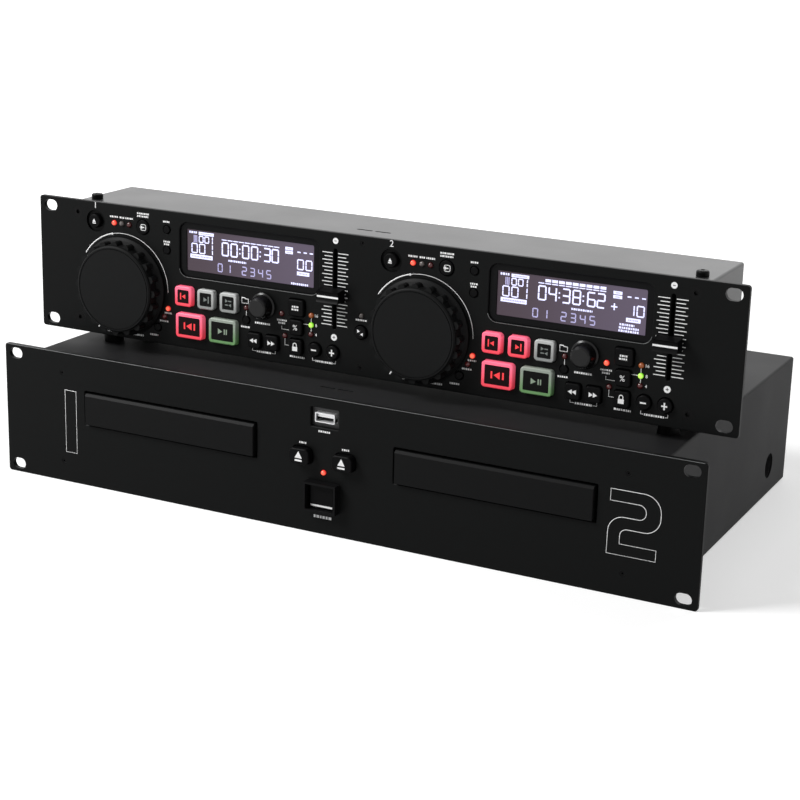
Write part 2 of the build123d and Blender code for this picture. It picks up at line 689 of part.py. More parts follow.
# Sockets: the stick socket at the front, the sound, control and mains sockets at the back.
shell_outer = RectangleRounded(stick_shell_width, stick_shell_tall, 0.6)
shell_inner = Rectangle(stick_shell_width - 2 * stick_shell_wall, stick_shell_tall - 2 * stick_shell_wall)
stick = prism(Pos(0, stick_height) * (shell_outer - shell_inner), 0.4, 16)
stick += prism(Pos(0, stick_height) * shell_outer, 14, 18)
stick += prism(Pos(0, stick_height + 0.9) * Rectangle(11.1, 1.9), 2.4, 14)
stick_plate = prism(Pos(0, stick_height) * (Rectangle(24, 12) - shell_outer), wall + sheet, wall + 2 * sheet)
put("drive_sockets", stick + stick_plate)
for side in (-1, 1):
    plate = Pos(side * 70, phono_height) * RectangleRounded(3 * phono_pitch, 14, 1.5)
    plate = prism(plate, back_inside - 3, back_inside)
    for x, z in phono_places:
        if x * side > 0:
            bore = Circle(phono_bore / 2)
            collar_end = drive_depth + phono_collar_proud
            plate += prism(Pos(x, z) * (Circle(phono_collar / 2) - bore), back_inside, collar_end)
            barrel = Pos(x, z) * (Circle(phono_barrel / 2) - bore)
            plate += prism(barrel, collar_end, drive_depth + phono_length)
    put("drive_sockets", plate)
for x, z in link_places:
    put("drive_sockets", link_socket(x, drive_depth - 5, z, 1))
inlet_place = Pos(inlet_x, inlet_z)
inlet_floor = drive_depth - inlet_cavity_depth
inlet = prism(inlet_place * Rectangle(inlet_width, inlet_tall), inlet_floor - 2, drive_depth)
inlet_rim = RectangleRounded(inlet_width + 12, inlet_tall + 4, 3)
inlet += prism(inlet_place * inlet_rim, drive_depth, drive_depth + 2)
cavity = inlet_place * RectangleRounded(inlet_cavity_width, inlet_cavity_tall, 3)
inlet -= prism(cavity, inlet_floor, drive_depth + 3)
for x, z in ((-7, -3.4), (0, -5.4), (7, -3.4)):
    inlet += prism(inlet_place * Pos(x, z) * Rectangle(2, 4), inlet_floor - 1, drive_depth - 2)
put("drive_sockets", inlet)

# Screws and feet of the drive unit.
for x, z in drive_screw_places:
    put("drive_screws_and_feet", small_screw_at(x, z, panel_thickness + 2 * sheet))
rounded_head = [(0, 2.2), (2.4, 2.2), (3.6, 1.4), (3.6, 0)]
rounded_head += [(panel_screw / 2, 0), (panel_screw / 2, -4), (0, -4)]
for x in cover_screw_x:
    screw = turned(x, cover_screw_z, rounded_head)
    put("drive_screws_and_feet", Pos(0, drive_depth + sheet, 0) * screw)
for side in (-1, 1):
    inner_x = side * (half_case - sheet - play - side_dish_depth)
    screw = Cylinder(3.8, 2.4, align=(Align.CENTER, Align.CENTER, Align.MIN))
    screw += Cylinder(panel_screw / 2, 5, align=(Align.CENTER, Align.CENTER, Align.MAX))
    screw -= Pos(0, 0, 2.4 - hex_depth) * extrude(hexagon(hex_across), 3)
    put("drive_screws_and_feet", Pos(inner_x, side_dish_y, side_dish_z) * Rot(0, side * 90, 0) * screw)
for x in both(half_case - 24):
    for y in (30, drive_depth - 24):
        pad = Cylinder(drive_foot_diameter / 2, case_bottom)
        put("drive_screws_and_feet", Pos(x, y, case_bottom / 2) * pad)

# ---- Control unit -------------------------------------------------------------------------------

control_screw_places = [(x, z) for x in both(control_screw_x) for z in control_screw_z]
deck_middles = {1: -deck_pitch / 2, 2: deck_pitch / 2}
control_cuts = [opening(*relay_button[:5]), Pos(*relay_lamp) * Circle(lamp_diameter / 2 + lamp_clearance)]
dishes = Part()
for middle in deck_middles.values():
    for x, z, width, tall, corner, _ in deck_buttons.values():
        control_cuts.append(opening(middle + x, z, width, tall, corner))
    for x, z in deck_lamps:
        control_cuts.append(Pos(middle + x, z) * Circle(lamp_diameter / 2 + lamp_clearance))
    window = RectangleRounded(window_width, window_tall, window_corner)
    control_cuts.append(Pos(middle + window_x, window_z) * window)
    fader_slot = Rot(0, 0, 90) * SlotOverall(fader_slot_length, fader_slot_width)
    control_cuts.append(Pos(middle + fader_x, fader_z) * fader_slot)
    for x, z in ((jog_x, jog_z), (knob_x, knob_z)):
        control_cuts.append(Pos(middle + x, z) * Circle(bushing_diameter / 2))
    eject_x, eject_z = deck_buttons["eject_key"][:2]
    dishes += prism(Pos(middle + eject_x, eject_z) * Circle(eject_dish_diameter / 2), -1, eject_dish_depth)
control_screw_cuts = Part() + [csk_cut(x, z) for x, z in control_screw_places]
control_screw_cuts += [small_screw_cut(0, z) for z in control_middle_screw_z]
put("control_front_panel", rack_panel(control_cuts, control_screw_cuts) - dishes)

# The control unit's case: one folded box, open at the front, with flanges for the panel's screws.
case = prism(folded(case_width, case_bottom, case_top, 0), wall, control_depth)
case -= prism(folded(case_width, case_bottom, case_top, sheet), wall - 1, control_depth - sheet)
for side in (-1, 1):
    case += block(sorted((side * (half_case - sheet), side * (half_case - flange))), (wall, wall + sheet),
                  (case_bottom + sheet, case_top - sheet))
case += block((-8, 8), (wall, wall + sheet), (case_bottom + sheet, case_bottom + 9))
case += block((-8, 8), (wall, wall + sheet), (case_top - 6, case_top - sheet))
case -= control_screw_cuts
case -= top_slots()
control_link_x = (-60, 60)
link_room = Sketch() + [Pos(x, link_height) * Circle(link_outer / 2 + play) for x in control_link_x]
case -= prism(link_room, control_depth - sheet - 1, control_depth + 1)
stud_x, stud_y = half_case - 9, 18.0
board_half = half_case - 6
put("control_case", case)

for middle in deck_middles.values():
    x = middle + window_x
    frame_part = RectangleRounded(window_width - 0.4, window_tall - 0.4, window_corner - 0.2)
    bezel = prism(Pos(x, window_z) * frame_part, window_depth, panel_thickness)
    flange_part = RectangleRounded(window_width + 4, window_tall + 4, window_corner)
    bezel += prism(Pos(x, window_z) * flange_part, panel_thickness, panel_thickness + 3)
    glass_cut = Pos(x, window_z) * RectangleRounded(glass_width, glass_tall, 1.0)
    bezel -= prism(glass_cut, 0, window_depth + glass_depth)
    module = Pos(x, window_z) * Rectangle(window_width - 2, window_tall - 2)
    module = prism(module, panel_thickness + 3, board_depth)
    put("control_displays", bezel + module)

board_plate = prism(Pos(0, 44) * Rectangle(2 * board_half, 76), board_depth, board_depth + board_thickness)
put("control_board", board_plate, lamp(*relay_lamp), switch(*relay_button[:2]))
for x in both(board_half - 3):
    put("control_board", prism(Pos(x, middle_z) * Circle(2.5), wall + sheet, board_depth))
for z in (14, 62):
    put("control_board", prism(Pos(0, z) * Circle(2.5), wall, board_depth))
for x in control_link_x:
    put("control_board", link_socket(x, control_depth - 5, link_height, 1))
    body_depth = (board_depth + board_thickness, control_depth - 7)
    put("control_board", block((x - 5, x + 5), body_depth, (link_height - 5, link_height + 5)))


def jog_wheel(x, z):
    """The big wheel: a smooth face over a ring of finger grips, and a skirt close to the panel."""
    skirt = [(0, -4), (jog_grip, -4), (jog_skirt - 1.5, -3), (jog_skirt, -jog_gap - 1)]
    skirt = turned(x, z, skirt + [(jog_skirt, -jog_gap), (0, -jog_gap)])
    bumps = [loc * Circle(jog_grip_bump) for loc in PolarLocations(jog_grip, jog_grips)]
    ring = Pos(x, z) * (Sketch() + Circle(jog_grip) + bumps)
    grip = prism(ring, -jog_proud + 1.6, -3.6)
    profile = [(0, -jog_proud), (jog_groove - 0.5, -jog_proud), (jog_groove - 0.5, -jog_proud + 0.6)]
    profile += [(jog_groove, -jog_proud + 0.6), (jog_groove, -jog_proud), (jog_face - 0.8, -jog_proud)]
    profile += [(jog_face, -jog_proud + 0.8), (jog_face, -jog_proud + 1.6), (0, -jog_proud + 1.6)]
    face = turned(x, z, profile)
    shaft = prism(Pos(x, z) * Circle(shaft_diameter / 2), -jog_gap, board_depth - 2)
    return skirt + grip + face + shaft


def track_knob(x, z):
    """A small tapered knob with a rounded nose, on its own shaft."""
    profile = [(0, -knob_proud), (knob_front - 1.6, -knob_proud), (knob_front - 0.5, -knob_proud + 0.5)]
    profile += [(knob_front, -knob_proud + 1.6), (knob_base - 1.0, -2.2), (knob_base, -1.6)]
    profile += [(knob_base, -jog_gap), (0, -jog_gap)]
    shaft = prism(Pos(x, z) * Circle(shaft_diameter / 2), -jog_gap, board_depth - 2)
    return turned(x, z, profile) + shaft


def encoder(x, z):
    """The threaded bushing and housing that a wheel's or knob's shaft turns in."""
    bore = Circle(shaft_diameter / 2 + shaft_clearance)
    neck = Circle(bushing_diameter / 2 - 0.1) - bore
    neck = prism(Pos(x, z) * neck, -jog_gap + 0.4, panel_thickness + 2)
    body = prism(Pos(x, z) * (Rectangle(13, 13) - bore), panel_thickness + 2, board_depth - 1)
    return neck + body + prism(Pos(x, z) * Rectangle(13, 13), board_depth - 1, board_depth)


def fader_cap(x, z):
    """A finger cap with a hollowed front, on a flat lever that runs in the panel's slot."""
    base, front, proud = fader_cap_tall / 2, fader_cap_front / 2, fader_cap_proud
    low = -jog_gap
    hollow = ThreePointArc((-proud, -front), (-proud + 1.1, 0), (-proud, front))
    foot = [(low - 1.0, base), (low, base), (low, -base), (low - 1.0, -base)]
    side_view = make_face(hollow + Polyline((-proud, front), *foot, (-proud, -front)))
    cap = extrude(Plane.YZ * side_view, fader_cap_width / 2, both=True)
    lever = block(both(fader_stem_width / 2), (low, board_depth - 5), both(fader_stem_tall / 2))
    carriage = block(both(3.0), (board_depth - 7, board_depth - 4), both(3.5))
    return Pos(x, 0, z) * (cap + lever + carriage)


def fader_body(x, z):
    """The slide control behind the panel: a channel that the lever's carriage runs in."""
    shell = block((x - 4.5, x + 4.5), (panel_thickness + 1, board_depth), (z - 30, z + 30))
    room = block((x - 3.4, x + 3.4), (board_depth - 8, board_depth - 3.4), (z - 28, z + 28))
    slot = block((x - 1.1, x + 1.1), (panel_thickness, board_depth - 7), (z - 28, z + 28))
    return shell - room - slot


for deck, middle in deck_middles.items():
    put(f"jog_wheel_{deck}", jog_wheel(middle + jog_x, jog_z))
    put(f"track_knob_{deck}", track_knob(middle + knob_x, knob_z))
    put(f"pitch_fader_{deck}", fader_cap(middle + fader_x, fader_z + fader_rest))
    put("control_board", encoder(middle + jog_x, jog_z), encoder(middle + knob_x, knob_z))
    put("control_board", fader_body(middle + fader_x, fader_z))
    for x, z in deck_lamps:
        put("control_board", lamp(middle + x, z))
    for name, (x, z, width, tall, corner, proud) in deck_buttons.items():
        cap = button(middle + x, z, width, tall, corner, proud, stem_reach(key_travel))
        if name in lit_keys:
            pane = RectangleRounded(width - 2 * lit_key_border, tall - 2 * lit_key_border, 0.8)
            cap -= prism(Pos(middle + x, z) * pane, -proud - 1, -proud + lit_key_pocket)
        put(f"{name}_{deck}", cap)
        put("control_board", switch(middle + x, z))
put("relay_button", button(*relay_button, stem_reach(key_travel)))

for x, z in control_screw_places:
    put("control_screws_and_feet", csk_screw(x, z, panel_thickness + 2 * sheet))
for z in control_middle_screw_z:
    put("control_screws_and_feet", small_screw_at(0, z, panel_thickness + 2 * sheet))
for x in both(stud_x):
    stud = Cylinder(3.8, 3.6)
    stud = fillet(stud.faces().sort_by(Axis.Z)[-1].edges(), 1.2)
    stud -= Pos(0, 0, 0.6) * extrude(hexagon(hex_across), 2)
    put("control_screws_and_feet", Pos(x, stud_y, case_top + 1.8) * stud)
for x in both(half_case - 22):
    for y in (16, control_depth - 12):
        foot = Cylinder(control_foot_diameter / 2, control_foot)
        put("control_screws_and_feet", Pos(x, y, case_bottom - control_foot / 2) * foot)

# ---- Putting both units together and writing the pieces -----------------------------------------

lifted = Pos(control_right, control_back, control_lift)
drive_nodes = ("drive_", "disc_", "eject_button_", "power_")
for name, solids in nodes.items():
    if not name.startswith(drive_nodes):
        nodes[name] = [lifted * solid for solid in solids]

boxes = [solid.bounding_box() for solids in nodes.values() for solid in solids]
middle_x = (min(box.min.X for box in boxes) + max(box.max.X for box in boxes)) / 2
middle_y = (min(box.min.Y for box in boxes) + max(box.max.Y for box in boxes)) / 2
lowest = min(box.min.Z for box in boxes)
home = Pos(-middle_x, -middle_y, -lowest)

os.makedirs("parts", exist_ok=True)
for name, solids in nodes.items():
    export_step(Compound(children=[home * solid for solid in solids]), f"parts/{name}.step")
print(len(nodes), "pieces;", "origin at", round(middle_x, 3), round(middle_y, 3), round(lowest, 3))
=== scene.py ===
"""Looks of a disc player for a rack: a drive unit with two trays, and a control unit standing on it."""

import math

import bpy
from mathutils import Matrix, Vector


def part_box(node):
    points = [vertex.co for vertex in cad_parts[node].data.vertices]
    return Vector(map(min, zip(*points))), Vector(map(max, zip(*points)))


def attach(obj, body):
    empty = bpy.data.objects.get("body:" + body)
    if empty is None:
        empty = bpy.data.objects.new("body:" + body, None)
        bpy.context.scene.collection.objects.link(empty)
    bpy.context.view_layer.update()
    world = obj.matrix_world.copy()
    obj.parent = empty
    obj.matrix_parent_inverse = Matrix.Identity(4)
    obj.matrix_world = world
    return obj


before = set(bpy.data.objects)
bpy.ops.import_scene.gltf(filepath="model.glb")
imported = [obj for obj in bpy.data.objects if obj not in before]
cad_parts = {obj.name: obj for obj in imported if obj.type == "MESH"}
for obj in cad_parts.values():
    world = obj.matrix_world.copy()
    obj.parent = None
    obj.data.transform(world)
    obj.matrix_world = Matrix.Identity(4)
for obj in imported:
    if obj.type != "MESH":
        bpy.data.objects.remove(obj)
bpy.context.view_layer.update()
mm = 0.001

# ---- The room -----------------------------------------------------------------------------------
# A pale floor under soft studio light. The camera looks down on the right-hand front corner, with a
# long lens from about a metre away.
camera_right, camera_above, camera_tilt = 26.55, 16.433, 1.589
camera_place = Vector((523.6, -1082.3, 408.5)) * mm
lens_length = 84.41

across, above, tilt = (math.radians(angle) for angle in (camera_right, camera_above, camera_tilt))
backward = Vector((math.sin(across) * math.cos(above), -math.cos(across) * math.cos(above), math.sin(above)))
level = Vector((math.cos(across), math.sin(across), 0))
upright = level.cross(-backward)
turned_right = math.cos(tilt) * level + math.sin(tilt) * upright
turned_up = math.cos(tilt) * upright - math.sin(tilt) * level
facing = Matrix((turned_right, turned_up, backward)).transposed().to_4x4()
camera = bpy.data.objects.new("camera", bpy.data.cameras.new("camera"))
camera.data.lens = lens_length
camera.matrix_world = Matrix.Translation(camera_place) @ facing
bpy.context.collection.objects.link(camera)
bpy.context.scene.camera = camera
bpy.context.scene.view_settings.view_transform = "Standard"


class Flow:
    """One value in a material, which can be added, multiplied and compared like a number."""

    def __init__(self, tree, socket=None):
        self.tree, self.socket = tree, socket

    def node(self, kind, settings=(), sockets=(), out=0):
        """One output of a new node with these settings, and these numbers or flows at its sockets."""
        made = self.tree.nodes.new(kind)
        for name, value in dict(settings).items():
            setattr(made, name, value)
        for name, value in dict(sockets).items():
            if isinstance(value, Flow):
                self.tree.links.new(value.socket, made.inputs[name])
            else:
                made.inputs[name].default_value = value
        return Flow(self.tree, made.outputs[out])

    def math(self, operation, *values):
        """Arithmetic on exactly the values given."""
        return self.node("ShaderNodeMath", {"operation": operation}, enumerate(values))

    def __add__(self, other):
        return self.math("ADD", self, other)

    def __sub__(self, other):
        return self.math("SUBTRACT", self, other)

    def __mul__(self, other):
        return self.math("MULTIPLY", self, other)

    def __lt__(self, other):
        return self.math("LESS_THAN", self, other)

    def __gt__(self, other):
        return self.math("GREATER_THAN", self, other)

    def __abs__(self):
        return self.math("ABSOLUTE", self)

    def most(self, other):
        return self.math("MAXIMUM", self, other)

    def least(self, other):
        return self.math("MINIMUM", self, other)

    def over(self, start, end):
        """How far this value has come from a start to an end, kept between 0 and 1."""
        names = enumerate((self, start, end, 0.0, 1.0))
        return self.node("ShaderNodeMapRange", {"interpolation_type": "SMOOTHSTEP"}, names)

    def blend(self, colour_off, colour_on):
        """A colour between two others, by this value from 0 to 1."""
        values = [(*value, 1) if isinstance(value, tuple) else value for value in (colour_off, colour_on)]
        sockets = {0: self, 6: values[0], 7: values[1]}
        return self.node("ShaderNodeMix", {"data_type": "RGBA"}, sockets, out=2)

    def place(self):
        """Where a point lies in its object's coordinates, which at rest are the room's."""
        return self.node("ShaderNodeTexCoord", out=3)

    def axes(self):
        """That place's three coordinates, one by one."""
        split = self.node("ShaderNodeSeparateXYZ", sockets={"Vector": self.place()}).socket.node
        return [Flow(self.tree, split.outputs[axis]) for axis in "XYZ"]

    def rays(self):
        """1 for a ray from the camera, for one off a glossy coat and for one through glass, in turn."""
        path = self.node("ShaderNodeLightPath").socket.node
        names = ("Is Camera Ray", "Is Glossy Ray", "Is Transmission Ray")
        return [Flow(self.tree, path.outputs[name]) for name in names]

    def into(self, shader, name):
        """Lead this value to a socket of a shader."""
        self.tree.links.new(self.socket, shader.inputs[name])


# Camera and glossy coats see plain white walls, with a bright window behind and above the object.
world_light, plain_wall, white_wall = 0.14, 1.0, 1.8
toward_wall, wall_start, wall_full = (-0.5, 0.72, 0.42), 0.2, 0.8
world = bpy.data.worlds.new("studio")
bpy.context.scene.world = world
world.use_nodes = True
sky = Flow(world.node_tree)
seen, glossy, through = sky.rays()
direction = sky.node("ShaderNodeTexCoord")
behind = sky.node("ShaderNodeVectorMath", {"operation": "DOT_PRODUCT"}, {0: direction, 1: toward_wall}, out=1)
mirrored = behind.over(wall_start, wall_full) * (white_wall - plain_wall) + (plain_wall - world_light)
strength = seen.most(through) * (1 - world_light) + glossy * mirrored + world_light
background = world.node_tree.nodes["Background"]
strength.into(background, "Strength")
background.inputs["Color"].default_value = (1, 1, 1, 1)

lamps = {  # its place, its width and its power
    "window_left": ((-1.5, -1.25, 1.7), 0.9, 74),
    "overhead_back": ((0.2, 1.3, 1.8), 1.4, 16),
    "fill_right": ((1.9, -0.9, 0.9), 1.6, 3),
}
lamps_aim = Vector((0, 0, 0.08))
for name, (place, size, power) in lamps.items():
    lamp = bpy.data.objects.new(name, bpy.data.lights.new(name, "AREA"))
    lamp.data.size, lamp.data.energy = size, power
    lamp.location = place
    lamp.rotation_euler = (lamps_aim - Vector(place)).to_track_quat("-Z", "Y").to_euler()
    bpy.context.collection.objects.link(lamp)


def shaded(name):
    """A new material, its shader, and a flow to start from in it."""
    material = bpy.data.materials.new(name)
    material.use_nodes = True
    return material, material.node_tree.nodes["Principled BSDF"], Flow(material.node_tree)


# The floor shows the object's shadow, and fades into the white walls further out.
floor_half, floor_grey = 6.0, 0.62
near_glow, far_glow, fade_start, fade_end = 0.5, 1.0, 0.35, 1.3
floor_paint, floor_shader, ground = shaded("floor")
floor_shader.inputs["Base Color"].default_value = (floor_grey, floor_grey, floor_grey, 1)
floor_shader.inputs["Roughness"].default_value = 1.0
floor_shader.inputs["Specular IOR Level"].default_value = 0.0
seen, glossy, through = ground.rays()
from_object = ground.node("ShaderNodeVectorMath", {"operation": "LENGTH"}, {0: ground.place()}, out=1)
glow = from_object.over(fade_start, fade_end) * (far_glow - near_glow) + near_glow
glow = (seen.most(through).most(glossy) * glow).blend((0.0, 0.0, 0.0), (1.0, 1.0, 1.0))
glow.into(floor_shader, "Emission Color")
floor_shader.inputs["Emission Strength"].default_value = 1.0
floor_mesh = bpy.data.meshes.new("floor")
corners = [(x * floor_half, y * floor_half, 0) for x, y in ((-1, -1), (1, -1), (1, 1), (-1, 1))]
floor_mesh.from_pydata(corners, [], [(0, 1, 2, 3)])
floor_mesh.materials.append(floor_paint)
floor_sheet = bpy.data.objects.new("floor", floor_mesh)
bpy.context.collection.objects.link(floor_sheet)

# ---- Sheet metal --------------------------------------------------------------------------------
# Both panels are aluminium plate with a smooth satin black coat. The cases are folded steel with a
# coarser powder coat, and the chassis inside the drive unit is darkened steel.


def darker(colour, share):
    """A colour with only this share of its brightness."""
    return tuple(value * share for value in colour)


def finish(name, colour, roughness, specular=0.5, grain=0.0004, depth=0.00001, mottle=0.12, other=None):
    """A material with a fine grain, and a colour and gloss that vary a little over the surface.

    A second colour, and metal, can take over where a mask says so: other is (mask, colour, metal).
    """
    material, shader, flow = shaded(name)
    place = flow.place()
    fine = flow.node("ShaderNodeTexNoise", sockets={"Vector": place, "Scale": 1 / grain, "Detail": 3.0})
    broad = flow.node("ShaderNodeTexNoise", sockets={"Vector": place, "Scale": 22.0, "Detail": 4.0})
    shade = broad * mottle + fine * mottle + (1 - mottle)
    tint = shade.blend(darker(colour, 0.6), colour)
    rough = broad * 0.1 + (roughness - 0.05)
    bump = flow.node("ShaderNodeBump", sockets={"Strength": 0.6, "Distance": depth, "Height": fine})
    shader.inputs["Specular IOR Level"].default_value = specular
    if other:
        mask, second, metal = other
        here = mask(*flow.axes())
        tint = here.blend(tint, shade.blend(darker(second, 0.6), second))
        (here * metal).into(shader, "Metallic")
    for socket, value in (("Base Color", tint), ("Roughness", rough), ("Normal", bump)):
        value.into(shader, socket)
    return material


def between(value, low, high):
    """1 where a value lies in a range, else 0."""
    return (value > low) * (value < high)


def dress(material, *names):
    """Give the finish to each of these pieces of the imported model."""
    for name in names:
        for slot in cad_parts[name].material_slots:
            slot.link = "OBJECT"
            slot.material = material


panel_coat = finish("panel_coat", (0.0050, 0.0053, 0.0053), 0.42, 0.055, grain=0.0003, depth=0.000006)
case_coat = finish("case_coat", (0.014, 0.014, 0.0145), 0.36, 0.3, grain=0.0006, depth=0.00003, mottle=0.3)
cover_coat = finish("cover_coat", (0.010, 0.010, 0.0105), 0.6, 0.12, grain=0.0007, depth=0.00004, mottle=0.3)
dark_steel = finish("dark_steel", (0.02, 0.02, 0.021), 0.4, 0.4, grain=0.002, depth=0.000004)
dress(panel_coat, "drive_front_panel", "control_front_panel")
dress(case_coat, "control_case")
dress(cover_coat, "drive_cover")
dress(dark_steel, "drive_chassis")

# ---- Plastic parts and screws ---------------------------------------------------------------------
# The trays, caps and sockets are moulded black plastic, the big wheels have a rubbery skin, and the
# screws are blackened steel. The loaders are a dark moulding, and the boards are green. The socket for
# a memory stick, the phono barrels and the inlet's pins are bright metal.
button_plastic = finish("button_plastic", (0.0028, 0.0028, 0.0030), 0.4, 0.05, grain=0.0003)
tray_plastic = finish("tray_plastic", (0.0054, 0.0055, 0.0056), 0.42, 0.06)
wheel_rubber = finish("wheel_rubber", (0.0058, 0.0060, 0.0061), 0.5, 0.07, grain=0.0005, depth=0.00002)
loader_plastic = finish("loader_plastic", (0.03, 0.03, 0.032), 0.5)
knob_plastic = finish("knob_plastic", (0.005, 0.005, 0.0052), 0.22, 0.2)
screw_black = finish("screw_black", (0.0035, 0.0035, 0.0036), 0.36, 0.07)
bezel_plastic = finish("bezel_plastic", (0.004, 0.004, 0.0044), 0.35, 0.06)

# Places in the room. drive_y is the face of the drive's front panel, and drive_x is its middle.
drive_y, drive_x = -130.15 * mm, -3.0 * mm
shell_lip, shell_mouth, shell_end = (drive_y + depth * mm for depth in (2, 13, 19))
tongue_top, tongue_bottom = 74.8 * mm, 72.6 * mm
inlet_floor, inlet_mouth, phono_start = (drive_y + depth * mm for depth in (242.1, 256, 259.2))
inlet_x, inlet_z, inlet_half_width, inlet_half_tall = -193.0 * mm, 30.0 * mm, 10 * mm, 7.6 * mm
front_board, front_board_half = (drive_y + 14.1 * mm, drive_y + 15.5 * mm), 70 * mm
main_board = (9.05 * mm, 10.55 * mm)
deck_board = (drive_y + 47.45 * mm, drive_y + 48.95 * mm)


def bright_sockets(x, y, z):
    """The memory stick's shell at the front, the barrels at the back, and the inlet's pins."""
    shell = (y < shell_end) * ((y < shell_lip) + between(y, shell_mouth, shell_end))
    shell = shell + (y < shell_mouth) * (z > tongue_top) + (y < shell_mouth) * (z < tongue_bottom)
    inlet = (abs(x - inlet_x) < inlet_half_width) * (abs(z - inlet_z) < inlet_half_tall)
    return (shell + (y > phono_start) + between(y, inlet_floor, inlet_mouth) * inlet).least(1.0)


def board_sheets(x, y, z):
    """The drive unit's boards themselves, apart from what is soldered to them."""
    standing_board = between(y, *front_board) * (abs(x - drive_x) < front_board_half)
    return standing_board.most(between(z, *main_board))


def control_sheet(x, y, z):
    """The control unit's board, behind its panel."""
    return between(y, *deck_board)


green, bright, part_black = (0.012, 0.07, 0.03), (0.8, 0.8, 0.81), (0.0045, 0.0045, 0.0048)
socket_black = finish("socket_black", (0.004, 0.004, 0.0042), 0.35, 0.06, other=(bright_sockets, bright, 0.6))
drive_parts = finish("drive_parts", part_black, 0.4, 0.06, grain=0.001, other=(board_sheets, green, 0.0))
control_parts = finish("control_parts", part_black, 0.4, 0.06, grain=0.001, other=(control_sheet, green, 0.0))
decks = (1, 2)
square_buttons = ("search_back_button", "search_forward_button", "tap_button", "pitch_range_button",
                  "key_lock_button")
round_buttons = ("eject_key", "source_button", "time_button", "single_button", "jog_mode_button",
                 "folder_button", "bend_down_button", "bend_up_button", "eject_button")
deck_pieces = (
    (button_plastic, (*square_buttons, *round_buttons, "pitch_fader")), (knob_plastic, ("track_knob",)),
    (tray_plastic, ("disc_tray",)), (wheel_rubber, ("jog_wheel",)),
)
for material, names in deck_pieces:
    dress(material, *[f"{name}_{deck}" for name in names for deck in decks])
dress(button_plastic, "relay_button", "power_button")
dress(socket_black, "drive_sockets")
dress(loader_plastic, "disc_loaders")
dress(drive_parts, "drive_electronics")
dress(control_parts, "control_board")
dress(screw_black, "drive_screws_and_feet", "control_screws_and_feet")
dress(bezel_plastic, "control_displays")

# ---- Printing -------------------------------------------------------------------------------------
# White ink on both panels: short dashes where small words would be, scales, arcs and link lines. Each
# mark is a thin raised film on the panel's face.
ink_height = 0.05 * mm
shortest_dash = 0.3 * mm
control_low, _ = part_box("control_front_panel")
control_face, control_bottom = control_low[1], control_low[2]
drive_low, drive_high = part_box("drive_front_panel")
drive_middle, drive_face, drive_bottom = (drive_low[0] + drive_high[0]) / 2, drive_low[1], drive_low[2]

# Where printing goes: the body it rides on, its slot and the depth of the face.
on_control = ("control_unit", "panel_paint", control_face)
on_drive = ("drive_unit", "panel_paint", drive_face)


def middle_of(node):
    """The middle of a piece as seen from the front, and how far forward it comes."""
    low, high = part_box(node)
    return (low[0] + high[0]) / 2, (low[2] + high[2]) / 2, low[1]


jog_from_deck = -67.5 * mm
deck_middle = {deck: middle_of(f"jog_wheel_{deck}")[0] - jog_from_deck for deck in decks}


def on_deck(deck, x, z):
    """A place given in millimetres from a deck's middle line and the panel's lower edge."""
    return deck_middle[deck] + x * mm, control_bottom + z * mm


def plain(name, colour, roughness=0.5, glow=0.0, specular=0.3):
    """An even ink, lens or light, with a slight unevenness in its colour."""
    material, shader, flow = shaded(name)
    noise = {"Vector": flow.place(), "Scale": 900.0, "Detail": 2.0}
    tint = flow.node("ShaderNodeTexNoise", sockets=noise).blend(darker(colour, 0.88), colour)
    tint.into(shader, "Base Color")
    shader.inputs["Roughness"].default_value = roughness
    shader.inputs["Specular IOR Level"].default_value = specular
    if glow:
        tint.into(shader, "Emission Color")
        shader.inputs["Emission Strength"].default_value = glow
    return material


def node_tree(name, *numbers):
    """A geometry tree that takes these numbers and a material, with its input and output nodes."""
    tree = bpy.data.node_groups.new(name, "GeometryNodeTree")
    inputs = [("Geometry", "Geometry"), *[(label, "Float") for label in numbers], ("Material", "Material")]
    for label, kind in inputs:
        tree.interface.new_socket(label, in_out="INPUT", socket_type="NodeSocket" + kind)
    tree.interface.new_socket("Geometry", in_out="OUTPUT", socket_type="NodeSocketGeometry")
    return tree, tree.nodes.new("NodeGroupInput"), tree.nodes.new("NodeGroupOutput")


def join(tree, *pairs):
    """Link each pair's output to its input."""
    for source, target in pairs:
        tree.links.new(source, target)


def standing(tree, given, geometry, out):
    """Turn flat marks up to face the front, bring them to their depth and give them their material."""
    turn = tree.nodes.new("GeometryNodeTransform")
    turn.inputs["Rotation"].default_value = (math.pi / 2, 0, 0)
    shift = tree.nodes.new("ShaderNodeCombineXYZ")
    paint = tree.nodes.new("GeometryNodeSetMaterial")
    join(tree, (given.outputs["Depth"], shift.inputs["Y"]), (shift.outputs[0], turn.inputs["Translation"]),
         (geometry, turn.inputs["Geometry"]), (turn.outputs[0], paint.inputs["Geometry"]),
         (given.outputs["Material"], paint.inputs["Material"]), (paint.outputs[0], out.inputs[0]))


def stamped(tree, given, shape, scale, turn=None):
    """A shape at each point of the start, scaled and perhaps turned."""
    points = tree.nodes.new("GeometryNodeMeshToPoints")
    place = tree.nodes.new("GeometryNodeInstanceOnPoints")
    real = tree.nodes.new("GeometryNodeRealizeInstances")
    join(tree, (given.outputs["Geometry"], points.inputs["Mesh"]),
         (points.outputs[0], place.inputs["Points"]), (shape.outputs["Mesh"], place.inputs["Instance"]),
         (scale.outputs[0], place.inputs["Scale"]), (place.outputs[0], real.inputs[0]))
    if turn:
        join(tree, (turn.outputs[0], place.inputs["Rotation"]))
    return real.outputs[0]


